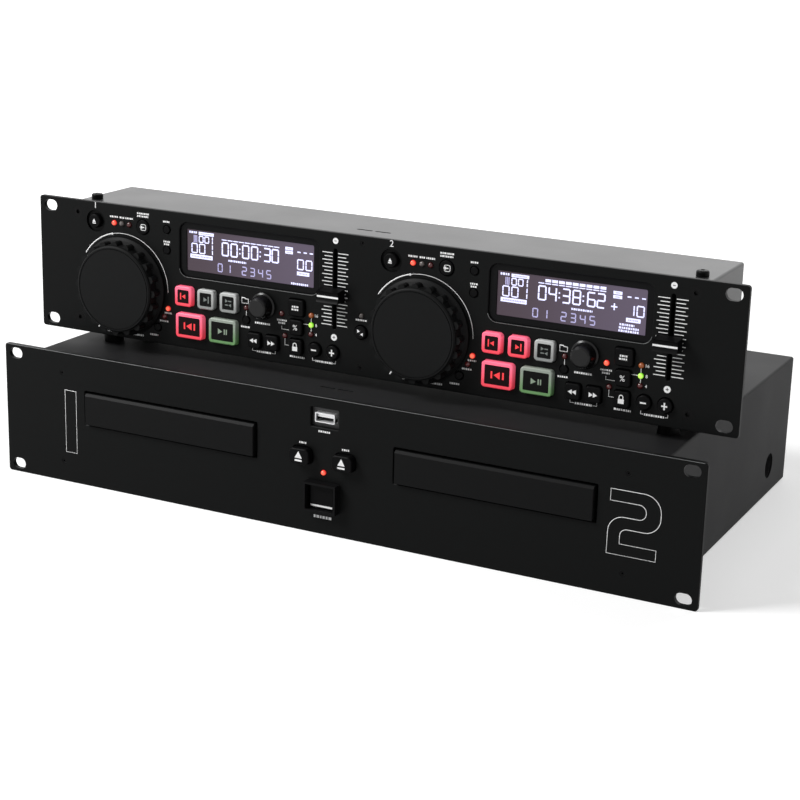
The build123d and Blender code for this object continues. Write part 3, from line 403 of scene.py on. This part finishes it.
def bar_tree():
    """A flat bar at each point, with the point's own length, width and turn."""
    tree, given, out = node_tree("printed_bars", "Height", "Depth")
    bar = tree.nodes.new("GeometryNodeMeshCube")
    scale, turn = tree.nodes.new("ShaderNodeCombineXYZ"), tree.nodes.new("ShaderNodeCombineXYZ")
    targets = {"length": scale.inputs["X"], "width": scale.inputs["Y"], "turn": turn.inputs["Z"]}
    for label, target in targets.items():
        value = tree.nodes.new("GeometryNodeInputNamedAttribute")
        value.data_type = "FLOAT"
        value.inputs["Name"].default_value = label
        join(tree, (value.outputs[0], target))
    join(tree, (given.outputs["Height"], scale.inputs["Z"]))
    standing(tree, given, stamped(tree, given, bar, scale, turn), out)
    return tree


def line_tree():
    """A drawn line of even width along a path."""
    tree, given, out = node_tree("drawn_lines", "Width", "Height", "Depth")
    curve = tree.nodes.new("GeometryNodeMeshToCurve")
    upright_normal = tree.nodes.new("GeometryNodeSetCurveNormal")
    upright_normal.mode = "Z_UP"
    profile = tree.nodes.new("GeometryNodeCurvePrimitiveQuadrilateral")
    ribbon = tree.nodes.new("GeometryNodeCurveToMesh")
    ribbon.inputs["Fill Caps"].default_value = True
    join(tree, (given.outputs["Geometry"], curve.inputs["Mesh"]),
         (curve.outputs[0], upright_normal.inputs["Curve"]),
         (upright_normal.outputs[0], ribbon.inputs["Curve"]),
         (given.outputs["Width"], profile.inputs["Width"]),
         (given.outputs["Height"], profile.inputs["Height"]),
         (profile.outputs[0], ribbon.inputs["Profile Curve"]))
    standing(tree, given, ribbon.outputs[0], out)
    return tree


printed_bars, drawn_lines = bar_tree(), line_tree()


def settle(piece, body):
    """Let a piece ride on a body."""
    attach(piece, body)


def grown(name, where, mesh, tree, material, **values):
    """A plain mesh object made by a geometry tree from this start and these named values."""
    body, slot, depth = where
    values.update(Depth=depth, Material=material)
    start = bpy.data.objects.new(name + "_start", mesh)
    bpy.context.collection.objects.link(start)
    modifier = start.modifiers.new("tree", "NODES")
    modifier.node_group = tree
    for item in tree.interface.items_tree:
        if item.in_out == "INPUT" and item.name in values:
            modifier[item.identifier] = values[item.name]
    evaluated = start.evaluated_get(bpy.context.evaluated_depsgraph_get())
    result = bpy.data.meshes.new_from_object(evaluated)
    start.modifiers.clear()
    bpy.data.objects.remove(start)
    piece = bpy.data.objects.new(name, result)
    bpy.context.collection.objects.link(piece)
    settle(piece, body)


def bars(name, where, marks, material):
    """Flat bars; each mark is (x, z, length, width, turn in degrees)."""
    mesh = bpy.data.meshes.new(name + "_points")
    mesh.from_pydata([(mark[0], mark[1], 0) for mark in marks], [], [])
    for index, label in enumerate(("length", "width", "turn"), 2):
        values = [math.radians(mark[4]) if label == "turn" else mark[index] for mark in marks]
        mesh.attributes.new(label, "FLOAT", "POINT").data.foreach_set("value", values)
    grown(name, where, mesh, printed_bars, material, Height=2 * ink_height)


def lines(name, where, paths, material, width=0.4 * mm):
    """Drawn lines; each path is a list of (x, z), closed where it ends at its first point."""
    points, edges = [], []
    for path in paths:
        first, closed = len(points), path[0] == path[-1]
        points += path[:-1] if closed else path
        edges += [(index, index + 1) for index in range(first, len(points) - 1)]
        if closed:
            edges.append((len(points) - 1, first))
    mesh = bpy.data.meshes.new(name + "_path")
    mesh.from_pydata([(x, z, 0) for x, z in points], edges, [])
    grown(name, where, mesh, drawn_lines, material, Width=width, Height=2 * ink_height)


def shapes(name, where, outlines, material):
    """Filled flat shapes; each outline is a list of (x, z) going round anticlockwise."""
    body, slot, depth = where
    mesh = bpy.data.meshes.new(name)
    points, faces = [], []
    for outline in outlines:
        faces.append(tuple(range(len(points), len(points) + len(outline))))
        points += [(x, depth - ink_height, z) for x, z in outline]
    mesh.from_pydata(points, [], faces)
    piece = bpy.data.objects.new(name, mesh)
    bpy.context.collection.objects.link(piece)
    thick = piece.modifiers.new("thick", "SOLIDIFY")
    thick.thickness = 2 * ink_height
    evaluated = piece.evaluated_get(bpy.context.evaluated_depsgraph_get())
    solid = bpy.data.meshes.new_from_object(evaluated)
    piece.modifiers.clear()
    piece.data = solid
    solid.materials.append(material)
    settle(piece, body)


def arc(x, z, radius, start, end, steps=12):
    """Points along part of a circle, with angles in degrees."""
    angles = [math.radians(start + (end - start) * step / steps) for step in range(steps + 1)]
    return [(x + radius * math.cos(angle), z + radius * math.sin(angle)) for angle in angles]


def round_spot(x, z, radius, sides=24):
    """The outline of a round spot, with this many short sides."""
    return arc(x, z, radius, 0, 360 - 360 / sides, sides - 1)


def rounded(corners, steps=7):
    """A closed outline through corners given as (x, z, radius), each rounded by its own radius."""
    outline = []
    previous, following = corners[-1:] + corners[:-1], corners[1:] + corners[:1]
    for before, (x, z, radius), after in zip(previous, corners, following):
        corner = Vector((x, z))
        arriving = (corner - Vector(before[:2])).normalized()
        leaving = (Vector(after[:2]) - corner).normalized()
        half = arriving.angle(leaving) / 2
        centre = corner + (leaving - arriving).normalized() * radius / math.cos(half)
        spoke = corner - arriving * radius * math.tan(half) - centre
        turn = math.copysign(2 * half, arriving.cross(leaving)) if radius else 0
        count = steps if radius else 0
        for step in range(count + 1):
            outline.append(tuple(centre + Matrix.Rotation(turn * step / max(count, 1), 2) @ spoke))
    return outline + outline[:1]


def dashes(x, z, width, tall, seed=0):
    """A row of short uneven dashes, the size of a line of small print."""
    lengths, gap = (0.75, 1.1, 0.55, 0.9), 0.35
    marks, left, step = [], x - width / 2, seed
    while left < x + width / 2 - shortest_dash:
        length = min(lengths[step % len(lengths)] * tall, x + width / 2 - left)
        marks.append((left + length / 2, z, length, tall, 0))
        left += length + gap * tall
        step += 1
    return marks


white_ink = plain("white_ink", (0.93, 0.93, 0.93), roughness=0.6)
# A light grey drawn along edges as a painted highlight, where an edge would catch the light.
painted_edge_highlight = plain("painted_edge_highlight", (0.17, 0.175, 0.175), roughness=0.4)
dark_ink = plain("dark_ink", (0.02, 0.02, 0.02), roughness=0.6)

# Every place below is in millimetres from a deck's middle line and the panel's lower edge, as (x, z).
# Small print has a width and a height as well.
small_print = [
    (-73.8, 79.9, 6.5, 1.1), (-67.8, 79.9, 3.6, 1.1), (-62.1, 79.9, 6.0, 1.1), (-51.5, 84.2, 9.0, 1.1),
    (-51.5, 82.4, 9.0, 1.1), (-33.3, 81.0, 5.4, 1.1), (-33.3, 68.1, 5.0, 1.1), (-33.3, 66.4, 4.4, 1.1),
    (-32.8, 21.3, 5.5, 1.1), (-35.9, 15.6, 6.5, 1.1), (-43.4, 5.4, 7.0, 1.2), (-67.1, 3.5, 31.0, 1.2),
    (38.4, 24.1, 11.5, 1.2), (25.8, 20.2, 7.0, 1.1), (52.2, 28.2, 7.0, 1.1), (52.2, 26.4, 5.0, 1.1),
    (39.3, 5.6, 10.5, 1.2), (63.5, 6.0, 10.5, 1.2), (82.8, 5.5, 12.0, 1.2),
]
link_lines = [
    [(73.3, 34.1), (73.3, 22.0)], [(73.3, 27.9), (67.8, 27.9)], [(52.2, 24.6), (52.2, 22.6), (58.3, 22.6)],
    [(54.6, 17.2), (54.6, 12.7), (58.3, 12.7)], [(26.3, 31.0), (26.3, 27.6)],
    [(31.0, 7.3), (31.0, 5.6), (33.5, 5.6)], [(47.6, 7.3), (47.6, 5.6), (45.1, 5.6)],
    [(74.6, 7.3), (74.6, 5.5), (76.3, 5.5)], [(91.0, 7.3), (91.0, 5.5), (89.3, 5.5)],
]
folder_outline = [(-2.4, -1.7), (2.4, -1.7), (2.4, 1.2), (0.2, 1.2), (-0.4, 1.8), (-2.4, 1.8), (-2.4, -1.7)]
folder_x, folder_z = 25.3, 37.2
fader_x, minus_z, plus_z = 89.55, 83.0, 22.3
tick_top, tick_pitch, tick_count, tick_width = 75.4, 2.265, 21, 0.5
tick_start, tick_ends = 1.9, (9.0, 7.5)
window_x, window_z, window_half_width, window_half_tall, window_corner = 27.3, 64.5, 51.2, 17.7, 6.0
arc_radius, arc_left, arc_change, arc_right = 34.8 * mm, 147, 104, 0

control_marks, control_lines = [], []
for deck in decks:
    for number, (x, z, width, tall) in enumerate(small_print):
        control_marks += dashes(*on_deck(deck, x, z), width * mm, tall * mm, number)
    for step in range(tick_count):
        tick_end = tick_ends[step % 2]
        for side in (-1, 1):
            x = fader_x + side * (tick_start + tick_end) / 2
            place = on_deck(deck, x, tick_top - step * tick_pitch)
            control_marks.append((*place, (tick_end - tick_start) * mm, tick_width * mm, 0))
    control_lines += [[on_deck(deck, x, z) for x, z in path] for path in link_lines]

    jog_x, jog_z, _ = middle_of(f"jog_wheel_{deck}")
    thick_arc = arc(jog_x, jog_z, arc_radius, arc_left, arc_change, 16)
    thin_arc = arc(jog_x, jog_z, arc_radius, arc_change - 1, arc_right, 30)
    lines(f"jog_arc_{deck}", on_control, [thick_arc], white_ink, width=0.8 * mm)
    lines(f"jog_arc_thin_{deck}", on_control, [thin_arc], white_ink, width=0.35 * mm)
    dot = round_spot(jog_x - 8.1 * mm, jog_z + 33.8 * mm, 0.75 * mm, 16)
    shapes(f"jog_dot_{deck}", on_control, [dot], white_ink)
    control_marks.append((jog_x - 19.5 * mm, jog_z - 28.9 * mm, 2.4 * mm, 0.8 * mm, 236))

    spots = [round_spot(*on_deck(deck, fader_x, z), r * mm) for z, r in ((minus_z, 1.9), (plus_z, 2.1))]
    shapes(f"fader_discs_{deck}", on_control, spots, white_ink)
    signs = [(*on_deck(deck, fader_x, z), width * mm, tall * mm, 0)
             for z, width, tall in ((minus_z, 1.5, 0.4), (plus_z, 1.8, 0.4), (plus_z, 0.4, 1.8))]
    over_discs = (*on_control[:2], control_face - 1.2 * ink_height)
    bars(f"fader_signs_{deck}", over_discs, signs, dark_ink)

    folder = [on_deck(deck, folder_x + x, folder_z + z) for x, z in folder_outline]
    lines(f"folder_{deck}", on_control, [folder], white_ink, width=0.65 * mm)
    # A thin grey line along the lower edge of each display window is a painted highlight, where the edge of
    # the recess would catch the light from above.
    corner, reach = window_corner * mm, (window_half_width - window_corner) * mm
    middle, low = on_deck(deck, window_x, window_z - window_half_tall + window_corner)
    edge = arc(middle - reach, low, corner, 190, 270, 8) + arc(middle + reach, low, corner, 270, 350, 8)
    lines(f"window_edge_{deck}", on_control, [edge], painted_edge_highlight, width=0.3 * mm)
relay_x, relay_z, _ = middle_of("relay_button")
control_marks += dashes(relay_x, relay_z + 7.6 * mm, 8 * mm, 1.1 * mm)
bars("control_small_print", on_control, control_marks, white_ink)
lines("control_link_lines", on_control, control_lines, white_ink, width=0.35 * mm)

# ---- Numbers --------------------------------------------------------------------------------------
# Plain numbers in white ink: the big outlined figures at the ends of the drive's panel, the deck
# numbers over the eject keys and the three pitch ranges.


def lettering(name, where, text, x, z, tall):
    """A line of white figures centred on a place on a face."""
    body, slot, depth = where
    capital_share = 0.69
    curve = bpy.data.curves.new(name, "FONT")
    curve.body, curve.size = text, tall / capital_share
    curve.align_x, curve.align_y = "CENTER", "CENTER"
    curve.extrude = ink_height
    curve.resolution_u = 3
    flat = bpy.data.objects.new(name + "_text", curve)
    bpy.context.collection.objects.link(flat)
    mesh = bpy.data.meshes.new_from_object(flat.evaluated_get(bpy.context.evaluated_depsgraph_get()))
    bpy.data.objects.remove(flat)
    mesh.transform(Matrix.Translation((x, depth, z)) @ Matrix.Rotation(math.pi / 2, 4, "X"))
    mesh.materials.clear()
    mesh.materials.append(white_ink)
    piece = bpy.data.objects.new(name, mesh)
    bpy.context.collection.objects.link(piece)
    settle(piece, body)


figure_one = [(-193.5, 20.7, 0), (-184.8, 20.7, 0), (-184.8, 63.0, 0), (-193.5, 63.0, 0)]
figure_two = [
    (185.8, 63.9, 0), (216.4, 63.9, 10.5), (216.4, 40.8, 9.5), (192.6, 40.8, 4.2), (192.6, 31.6, 0),
    (214.7, 31.6, 0), (214.7, 24.8, 0), (185.1, 24.8, 0), (185.3, 47.9, 9.5), (207.6, 47.9, 4.2),
    (207.6, 56.9, 4.4), (185.8, 56.9, 0),
]
big_figures = []
for figure in (figure_one, figure_two):
    big_figures.append([(drive_middle + x * mm, drive_bottom + z * mm) for x, z in rounded(figure)])
lines("big_figures", on_drive, big_figures, white_ink, width=0.4 * mm)
for deck in decks:
    x, z, _ = middle_of(f"eject_key_{deck}")
    lettering(f"deck_number_{deck}", on_control, str(deck), x, z + 10.1 * mm, 4.0 * mm)
    for text, z in (("16", 34.1), ("8", 27.9), ("4", 22.0)):
        lettering(f"range_{text}_{deck}", on_control, text, *on_deck(deck, 76.8, z), 1.9 * mm)

# ---- Symbols on the buttons -----------------------------------------------------------------------
# Each cap carries a pad-printed symbol that moves with it.


def triangle(x, z, size, points_to):
    """A solid arrow head: its three corners around a place, going round anticlockwise."""
    turn = math.radians({"right": 0, "up": 90, "left": 180, "down": 270}[points_to])
    corners = [(0.6 * size, 0), (-0.4 * size, 0.58 * size), (-0.4 * size, -0.58 * size)]
    rise, run = math.sin(turn), math.cos(turn)
    return [(x + a * run - b * rise, z + a * rise + b * run) for a, b in corners]


def strip(x, z, width, tall):
    """A solid bar's four corners, going round anticlockwise."""
    signs = ((-1, -1), (1, -1), (1, 1), (-1, 1))
    return [(x + a * width / 2, z + b * tall / 2) for a, b in signs]


def cap_of(node):
    """The middle of a button's cap, and where its printing goes."""
    x, z, face = middle_of(node)
    return x, z, (node, "black_plastic", face)


def printed(name, node, outlines):
    """A symbol on a cap's face; its outlines are in millimetres around the cap's middle."""
    x, z, where = cap_of(node)
    shapes(name, where, [[(x + a * mm, z + b * mm) for a, b in outline] for outline in outlines], white_ink)


cap_symbols = {
    "eject_mark": ("eject_key", [triangle(0, 0.4, 2.2, "up"), strip(0, -1.2, 2.6, 0.6)]),
    "tray_eject_mark": ("eject_button", [triangle(0, 0.9, 4.4, "up"), strip(0, -2.4, 5.0, 1.1)]),
    "search_back_mark": ("search_back_button", [triangle(x, 0, 2.6, "left") for x in (-1.2, 1.4)]),
    "search_forward_mark": ("search_forward_button", [triangle(x, 0, 2.6, "right") for x in (-1.4, 1.2)]),
    "bend_down_mark": ("bend_down_button", [strip(0, 0, 3.6, 0.9)]),
    "bend_up_mark": (
        "bend_up_button", [strip(0, 0, 3.6, 0.9), strip(0, 1.3, 0.9, 1.7), strip(0, -1.3, 0.9, 1.7)]),
}
lock_body = [strip(0, -1.0, 3.6, 2.8)]
source_mark = [triangle(-0.9, 0, 2.0, "left"), strip(0.7, 0, 1.6, 0.7)]
shackle_radius, shackle_foot, shackle_rise = 1.2 * mm, 0.3 * mm, 1.5 * mm
source_corners = ((-1.2, -1.9), (2.6, -1.9), (2.6, 1.9), (-1.2, 1.9))
for deck in decks:
    for name, (button, outlines) in cap_symbols.items():
        printed(f"{name}_{deck}", f"{button}_{deck}", outlines)
    x, z, where = cap_of(f"pitch_range_button_{deck}")
    lettering(f"range_mark_{deck}", where, "%", x, z, 3.4 * mm)
    printed(f"lock_body_{deck}", f"key_lock_button_{deck}", lock_body)
    x, z, where = cap_of(f"key_lock_button_{deck}")
    shackle = [(x - shackle_radius, z + shackle_foot)] + arc(x, z + shackle_rise, shackle_radius, 180, 0, 8)
    shackle.append((x + shackle_radius, z + shackle_foot))
    lines(f"lock_shackle_{deck}", where, [shackle], white_ink, width=0.55 * mm)
    printed(f"source_mark_{deck}", f"source_button_{deck}", source_mark)
    x, z, where = cap_of(f"source_button_{deck}")
    surround = rounded([(x + a * mm, z + b * mm, 1.0 * mm) for a, b in source_corners], 4)
    lines(f"source_ring_{deck}", where, [surround], white_ink, width=0.4 * mm)
    x, z, where = cap_of(f"tap_button_{deck}")
    rows = dashes(x, z + 0.9 * mm, 4.6 * mm, 1.1 * mm) + dashes(x, z - 0.9 * mm, 5.2 * mm, 1.1 * mm, 1)
    bars(f"tap_mark_{deck}", where, rows, white_ink)
printed("relay_mark", "relay_button", [triangle(-1.2, 0.9, 1.9, "right"), triangle(1.2, -0.9, 1.9, "left")])

# ---- Lit keys -------------------------------------------------------------------------------------
# Milky caps with a dark pane, lit from behind: a frame of light round a glowing symbol. Each cap is painted
# lighter towards its top, as a painted highlight.
key_lights = {  # on deck 1 and on deck 2
    "loop_in_key": ("red", "red"), "loop_out_key": ("off", "red"), "reloop_key": ("off", "off"),
    "cue_key": ("red", "red"), "play_key": ("green", "green"),
}
# The lighter top colours are painted highlights, as if light from above caught the caps' top edges; the glow
# is the caps' real backlight.
cap_colours_and_painted_highlight = {  # colour at the foot and at the top of a cap, and how much of it is its own light
    "red": ((0.74, 0.05, 0.078), (0.95, 0.14, 0.235), 0.45),
    "off": ((0.27, 0.28, 0.275), (0.5, 0.51, 0.5), 0.0),
    "green": ((0.125, 0.28, 0.10), (0.28, 0.32, 0.275), 0.1),
}
mark_light = {
    "red": ((0.95, 0.05, 0.06), 0.4), "off": ((0.2, 0.22, 0.21), 0.0),
    "green": ((0.26, 0.33, 0.25), 0.15),
}
key_symbols = {
    "loop_in_key": [triangle(0.5, 0, 2.6, "left"), strip(-2.0, 0, 0.8, 4.4)],
    "loop_out_key": [triangle(-0.5, 0, 2.6, "right"), strip(2.0, 0, 0.8, 4.4)],
    "reloop_key": [triangle(-1.4, 1.3, 1.9, "right"), triangle(1.4, -1.3, 1.9, "left"),
                   strip(1.2, 1.3, 2.2, 0.7), strip(-1.2, -1.3, 2.2, 0.7)],
    "cue_key": [strip(-3.6, 0, 1.1, 4.4), triangle(0.2, 0, 4.0, "left"), strip(3.9, 0, 1.1, 4.4)],
    "play_key": [triangle(-2.0, 0, 3.2, "right"), strip(1.5, 0, 0.8, 3.4), strip(3.0, 0, 0.8, 3.4)],
}
cap_round, cap_border, pane_play, pocket_depth = 1.5 * mm, 3.0 * mm, 0.1 * mm, 0.4 * mm


def shining(name, colour, roughness, specular, axis, span, tints, glow, milky=False):
    """A material whose own light goes from one tint to another along an axis.

    A milky one has that tint as its colour too.
    """
    material = plain(name, colour, roughness, specular=specular)
    shader = material.node_tree.nodes["Principled BSDF"]
    tint = Flow(material.node_tree).axes()["XYZ".index(axis)].over(*span).blend(*tints)
    tint.into(shader, "Emission Color")
    if milky:
        tint.into(shader, "Base Color")
    shader.inputs["Emission Strength"].default_value = glow
    return material


key_marks = {light: plain(f"mark_{light}", colour, 0.4, glow) for light, (colour, glow) in mark_light.items()}
panes = {"red": plain("pane_red", (0.005, 0.0006, 0.001), 0.4, 0.3, 0.08)}
panes["off"] = panes["green"] = plain("pane_dark", (0.002, 0.002, 0.002), 0.4, specular=0.08)
for deck in decks:
    for key, lights in key_lights.items():
        node, light = f"{key}_{deck}", lights[deck - 1]
        x, z, face = middle_of(node)
        low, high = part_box(node)
        foot, top, glow = cap_colours_and_painted_highlight[light]
        # Colour and glow run from the foot colour up to the lighter top colour, a painted highlight.
        span = (low[2] + cap_round, high[2] - cap_round)
        dress(shining(f"{node}_cap", foot, 0.35, 0.4, "Z", span, (foot, top), glow, milky=True), node)
        width, tall = (high[axis] - low[axis] - 2 * cap_border - pane_play for axis in (0, 2))
        in_pocket = (node, "translucent_key", face + pocket_depth)
        on_pane = (node, "translucent_key", face + pocket_depth - 1.5 * ink_height)
        shapes(f"{node}_pane", in_pocket, [strip(x, z, width, tall)], panes[light])
        placed = [[(x + a * mm, z + b * mm) for a, b in outline] for outline in key_symbols[key]]
        shapes(f"{node}_symbol", on_pane, placed, key_marks[light])

# ---- Indicator lamps ------------------------------------------------------------------------------
# Round lamps with clear or milky noses. The lit ones glow, the others are dull.
lamp_colours = {  # the lens, the core that shines through its nose, and how much is its own light
    "lit_red": ((0.62, 0.022, 0.018), (1.0, 0.17, 0.09), 0.95),
    "dim_red": ((0.03, 0.003, 0.003), (0.1, 0.009, 0.009), 0.3),
    "lit_green": ((0.16, 0.5, 0.02), (0.62, 0.95, 0.16), 0.95),
    "dim_orange": ((0.2, 0.05, 0.012), (0.36, 0.1, 0.03), 0.4),
    "unlit": ((0.1, 0.085, 0.08), (0.2, 0.17, 0.16), 0.0),
}
lamp_places = {  # what it is on deck 1 and on deck 2
    (-73.8, 75.9): ("lit_red", "lit_red"), (-67.8, 75.9): ("unlit", "unlit"),
    (-62.1, 75.9): ("dim_red", "dim_red"), (-32.6, 24.3): ("lit_red", "lit_red"),
    (-35.4, 18.8): ("dim_red", "dim_red"), (26.3, 32.7): ("dim_red", "dim_red"),
    (52.2, 32.5): ("dim_red", "lit_red"), (54.6, 18.6): ("dim_red", "dim_red"),
    (73.3, 34.1): ("dim_orange", "dim_orange"), (73.3, 27.9): ("lit_green", "lit_green"),
    (73.3, 22.0): ("dim_red", "dim_red"),
}
lamp_radius, lamp_nose = 1.7 * mm, 0.8 * mm
lamp_points = {kind: [] for kind in lamp_colours}
for (x, z), kinds in lamp_places.items():
    for deck, kind in zip(decks, kinds):
        lamp_points[kind].append(on_deck(deck, x, z))
lamp_points["unlit"].append((relay_x, control_bottom + 38.5 * mm))


def lens_tree():
    """A domed lens at each point."""
    tree, given, out = node_tree("lamp_lenses", "Radius", "Nose", "Depth")
    ball = tree.nodes.new("GeometryNodeMeshUVSphere")
    ball.inputs["Segments"].default_value, ball.inputs["Rings"].default_value = 20, 12
    ball.inputs["Radius"].default_value = 1.0
    scale = tree.nodes.new("ShaderNodeCombineXYZ")
    for axis, label in (("X", "Radius"), ("Y", "Radius"), ("Z", "Nose")):
        join(tree, (given.outputs[label], scale.inputs[axis]))
    standing(tree, given, stamped(tree, given, ball, scale), out)
    return tree


lamp_lenses = lens_tree()


def lenses(name, where, places, glass_name, kind):
    """Lamps of one kind; each lens is brighter at its nose than at its rim."""
    rim, core, glow = lamp_colours[kind]
    span = (where[2] - 0.4 * lamp_nose, where[2] - 1.7 * lamp_nose)
    glass = shining(glass_name, rim, 0.2, 0.5, "Y", span, (rim, core), glow)
    mesh = bpy.data.meshes.new(name + "_points")
    mesh.from_pydata([(x, z, 0) for x, z in places], [], [])
    grown(name, where, mesh, lamp_lenses, glass, Radius=lamp_radius, Nose=2 * lamp_nose)


for kind, places in lamp_points.items():
    lenses(f"lamps_{kind}", ("control_unit", "display_glass", control_face), places, f"lamp_{kind}", kind)
drive_lamp = [(drive_middle, drive_bottom + 40.2 * mm)]
lenses("drive_lamp", ("drive_unit", "display_glass", drive_face), drive_lamp, "lamp_drive", "lit_red")

# ---- Displays -------------------------------------------------------------------------------------
# A backlit display behind each window, with lilac-white segments on a dim purple-grey ground that
# gets lighter from left to right. Its marks are in millimetres, like the panel's.
glass_width, glass_tall, glass_play, glass_depth = 93.0 * mm, 27.0 * mm, 0.4 * mm, 2.2 * mm
ground_lift, marks_lift, lift_step = 0.1 * mm, 0.21 * mm, 0.06 * mm
ground_colour, ground_tints = (0.022, 0.017, 0.022), ((0.058, 0.041, 0.052), (0.105, 0.084, 0.125))
segment_ink = plain("lit_segments", (0.66, 0.67, 0.95), 0.4, 0.85)
faint_ink = plain("faint_segments", (0.40, 0.38, 0.62), 0.4, 0.55)
digit_segments = {
    "0": "abcdef", "1": "bc", "2": "abged", "3": "abgcd", "4": "fgbc", "5": "afgcd", "6": "afgedc",
    "8": "abcdefg",
}


def digit(text, left, low, width, tall, stroke):
    """The lit bars of one seven-bar figure."""
    across, up = width - stroke, tall - stroke
    gap = 0.35 * stroke
    middle, centre = left + width / 2, low + tall / 2
    places = {
        "a": (middle, low + tall - stroke / 2, across - gap, stroke, 0),
        "g": (middle, centre, across - gap, stroke, 0),
        "d": (middle, low + stroke / 2, across - gap, stroke, 0),
        "b": (left + width - stroke / 2, centre + up / 4, up / 2 - gap, stroke, 90),
        "c": (left + width - stroke / 2, centre - up / 4, up / 2 - gap, stroke, 90),
        "f": (left + stroke / 2, centre + up / 4, up / 2 - gap, stroke, 90),
        "e": (left + stroke / 2, centre - up / 4, up / 2 - gap, stroke, 90),
    }
    return [places[segment] for segment in digit_segments[text]]


def figures(text, lefts, size):
    """A row of figures; size is their foot's height, their width, their own height and their stroke."""
    return [bar for mark, left in zip(text, lefts) for bar in digit(mark, left, *size)]


readings = {1: ("000030", "00", 18.2), 2: ("043862", "10", 34.5)}  # time, pitch, place of the word below
time_lefts, time_size = (6.7, 13.2, 21.7, 28.2, 37.3, 43.2), (63.4, 5.4, 9.0, 0.95)
track_lefts, track_size = (-15.9, -10.2), (62.8, 4.7, 6.6, 0.75)
index_lefts, index_size = (-10.4, -6.2), (69.9, 3.6, 4.6, 0.7)
pitch_lefts, pitch_size = (61.6, 67.6), (61.3, 4.9, 6.8, 0.8)
text_lefts, text_size = [3.7 + place * 5.95 for place in (0, 1, 3, 4, 5, 6)], (52.7, 3.7, 5.7, 0.7)
gauge_start, gauge_pitch, gauge_count = 8.6, 4.25, 10
labels = [
    (-4.8, 75.9, 11.2, 2.0), (-8.4, 60.9, 16.6, 2.6), (55.8, 73.9, 5.4, 1.9), (55.8, 71.5, 5.4, 1.9),
    (66.0, 59.0, 8.8, 2.4),
]
for deck in decks:
    time, pitch, word_x = readings[deck]
    marks = figures(time, time_lefts, time_size)
    marks += [(x, z, 0.9, 0.9, 0) for x in (20.1, 35.0) for z in (69.2, 66.4)]
    marks += figures("00", track_lefts, track_size) + figures("00", index_lefts, index_size)
    marks += [(-0.2, z, 0.7, tall, 0) for z, tall in ((73.4, 1.9), (71.0, 1.9), (67.8, 2.7), (64.4, 2.7))]
    label_marks = []
    for number, (x, z, width, tall) in enumerate(labels):
        marks.append((x, z, width, tall, 0))
        label_marks += dashes(x, z, width - 2.6, 0.36 * tall, number)
    marks += dashes(-14.6, 76.2, 5.6, 1.3)
    for step in range(gauge_count):
        x = gauge_start + gauge_pitch * step
        marks.append((x, 73.7, 3.7, 0.6, 0))
        if deck == 2 and step:
            marks.append((x, 75.5, 3.6, 1.7, 0))
    marks += [(x, 72.4, 2.3, 0.8, 0) for x in (62.9, 67.3, 71.6)]
    marks += figures(pitch, pitch_lefts, pitch_size)
    if deck == 2:
        marks += [(54.1, 65.6, 3.8, 0.8, 0), (54.1, 65.6, 0.8, 4.0, 0)]
        marks += dashes(62.4, 55.9, 9.0, 1.2) + dashes(63.6, 54.0, 12.0, 1.2, 1)
    marks += dashes(word_x, 60.9, 13.0, 1.2) + dashes(63.6, 52.2, 12.4, 1.2)
    faint = [(x, 72.2, 0.6, 4.6, 0) for x in (-13.9, -12.9, -11.9)]
    faint += figures("012345", text_lefts, text_size)

    x, z = on_deck(deck, window_x, window_z)
    glass_face = control_face + glass_depth
    plate = strip(x, z, glass_width - glass_play, glass_tall - glass_play)
    span = (x - glass_width / 2, x + glass_width / 2)
    ground = shining(f"display_light_{deck}", ground_colour, 0.35, 0.15, "X", span, ground_tints, 1.0)
    behind_marks = ("control_unit", "display_glass", glass_face - ground_lift)
    shapes(f"display_ground_{deck}", behind_marks, [plate], ground)
    layers = (("faint_segments", faint, faint_ink), ("segments", marks, segment_ink),
              ("label_marks", label_marks, faint_ink))
    for number, (name, listed, ink) in enumerate(layers):
        placed = [(*on_deck(deck, a, b), c * mm, d * mm, turn) for a, b, c, d, turn in listed]
        layer = ("control_unit", "display_glass", glass_face - (marks_lift + lift_step * number))
        bars(f"{name}_{deck}", layer, placed, ink)

# ---- Fader lines and small labels on the drive ----------------------------------------------------
# A white line across each fader's cap runs down its side, and the drive's keys have small print. A thin
# grey line drawn just under the top edge of the drive's panel is a painted highlight, where that edge would
# catch the light.
cap_slope, edge_inset, edge_drop = 1.1 * mm, 2 * mm, 0.3 * mm
drive_marks = []
for deck in decks:
    node = f"pitch_fader_{deck}"
    low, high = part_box(node)
    x, z, face = middle_of(node)
    on_fader = (node, "black_plastic", face + cap_slope)
    bars(f"fader_line_{deck}", on_fader, [(x, z, high[0] - low[0], 1.2 * mm, 0)], white_ink)
    x, z, _ = middle_of(f"eject_button_{deck}")
    drive_marks += dashes(x, z + 7.7 * mm, 5 * mm, 1.2 * mm)
# Painted highlight: a grey line drawn just under the top edge of the drive's panel.
edge_z = drive_high[2] - edge_drop
top_edge = [(drive_low[0] + edge_inset, edge_z), (drive_high[0] - edge_inset, edge_z)]
lines("panel_top_highlight", on_drive, [top_edge], painted_edge_highlight, width=0.3 * mm)
drive_marks += dashes(drive_middle, drive_bottom + 11.2 * mm, 13.0 * mm, 1.8 * mm)
drive_marks += dashes(drive_middle, drive_bottom + 66.3 * mm, 8.0 * mm, 1.2 * mm)
bars("drive_small_print", on_drive, drive_marks, white_ink)
x, z, where = cap_of("power_button")
bars("power_line", where, [(x, z - 5.9 * mm, 15.2 * mm, 1.2 * mm, 0)], white_ink)
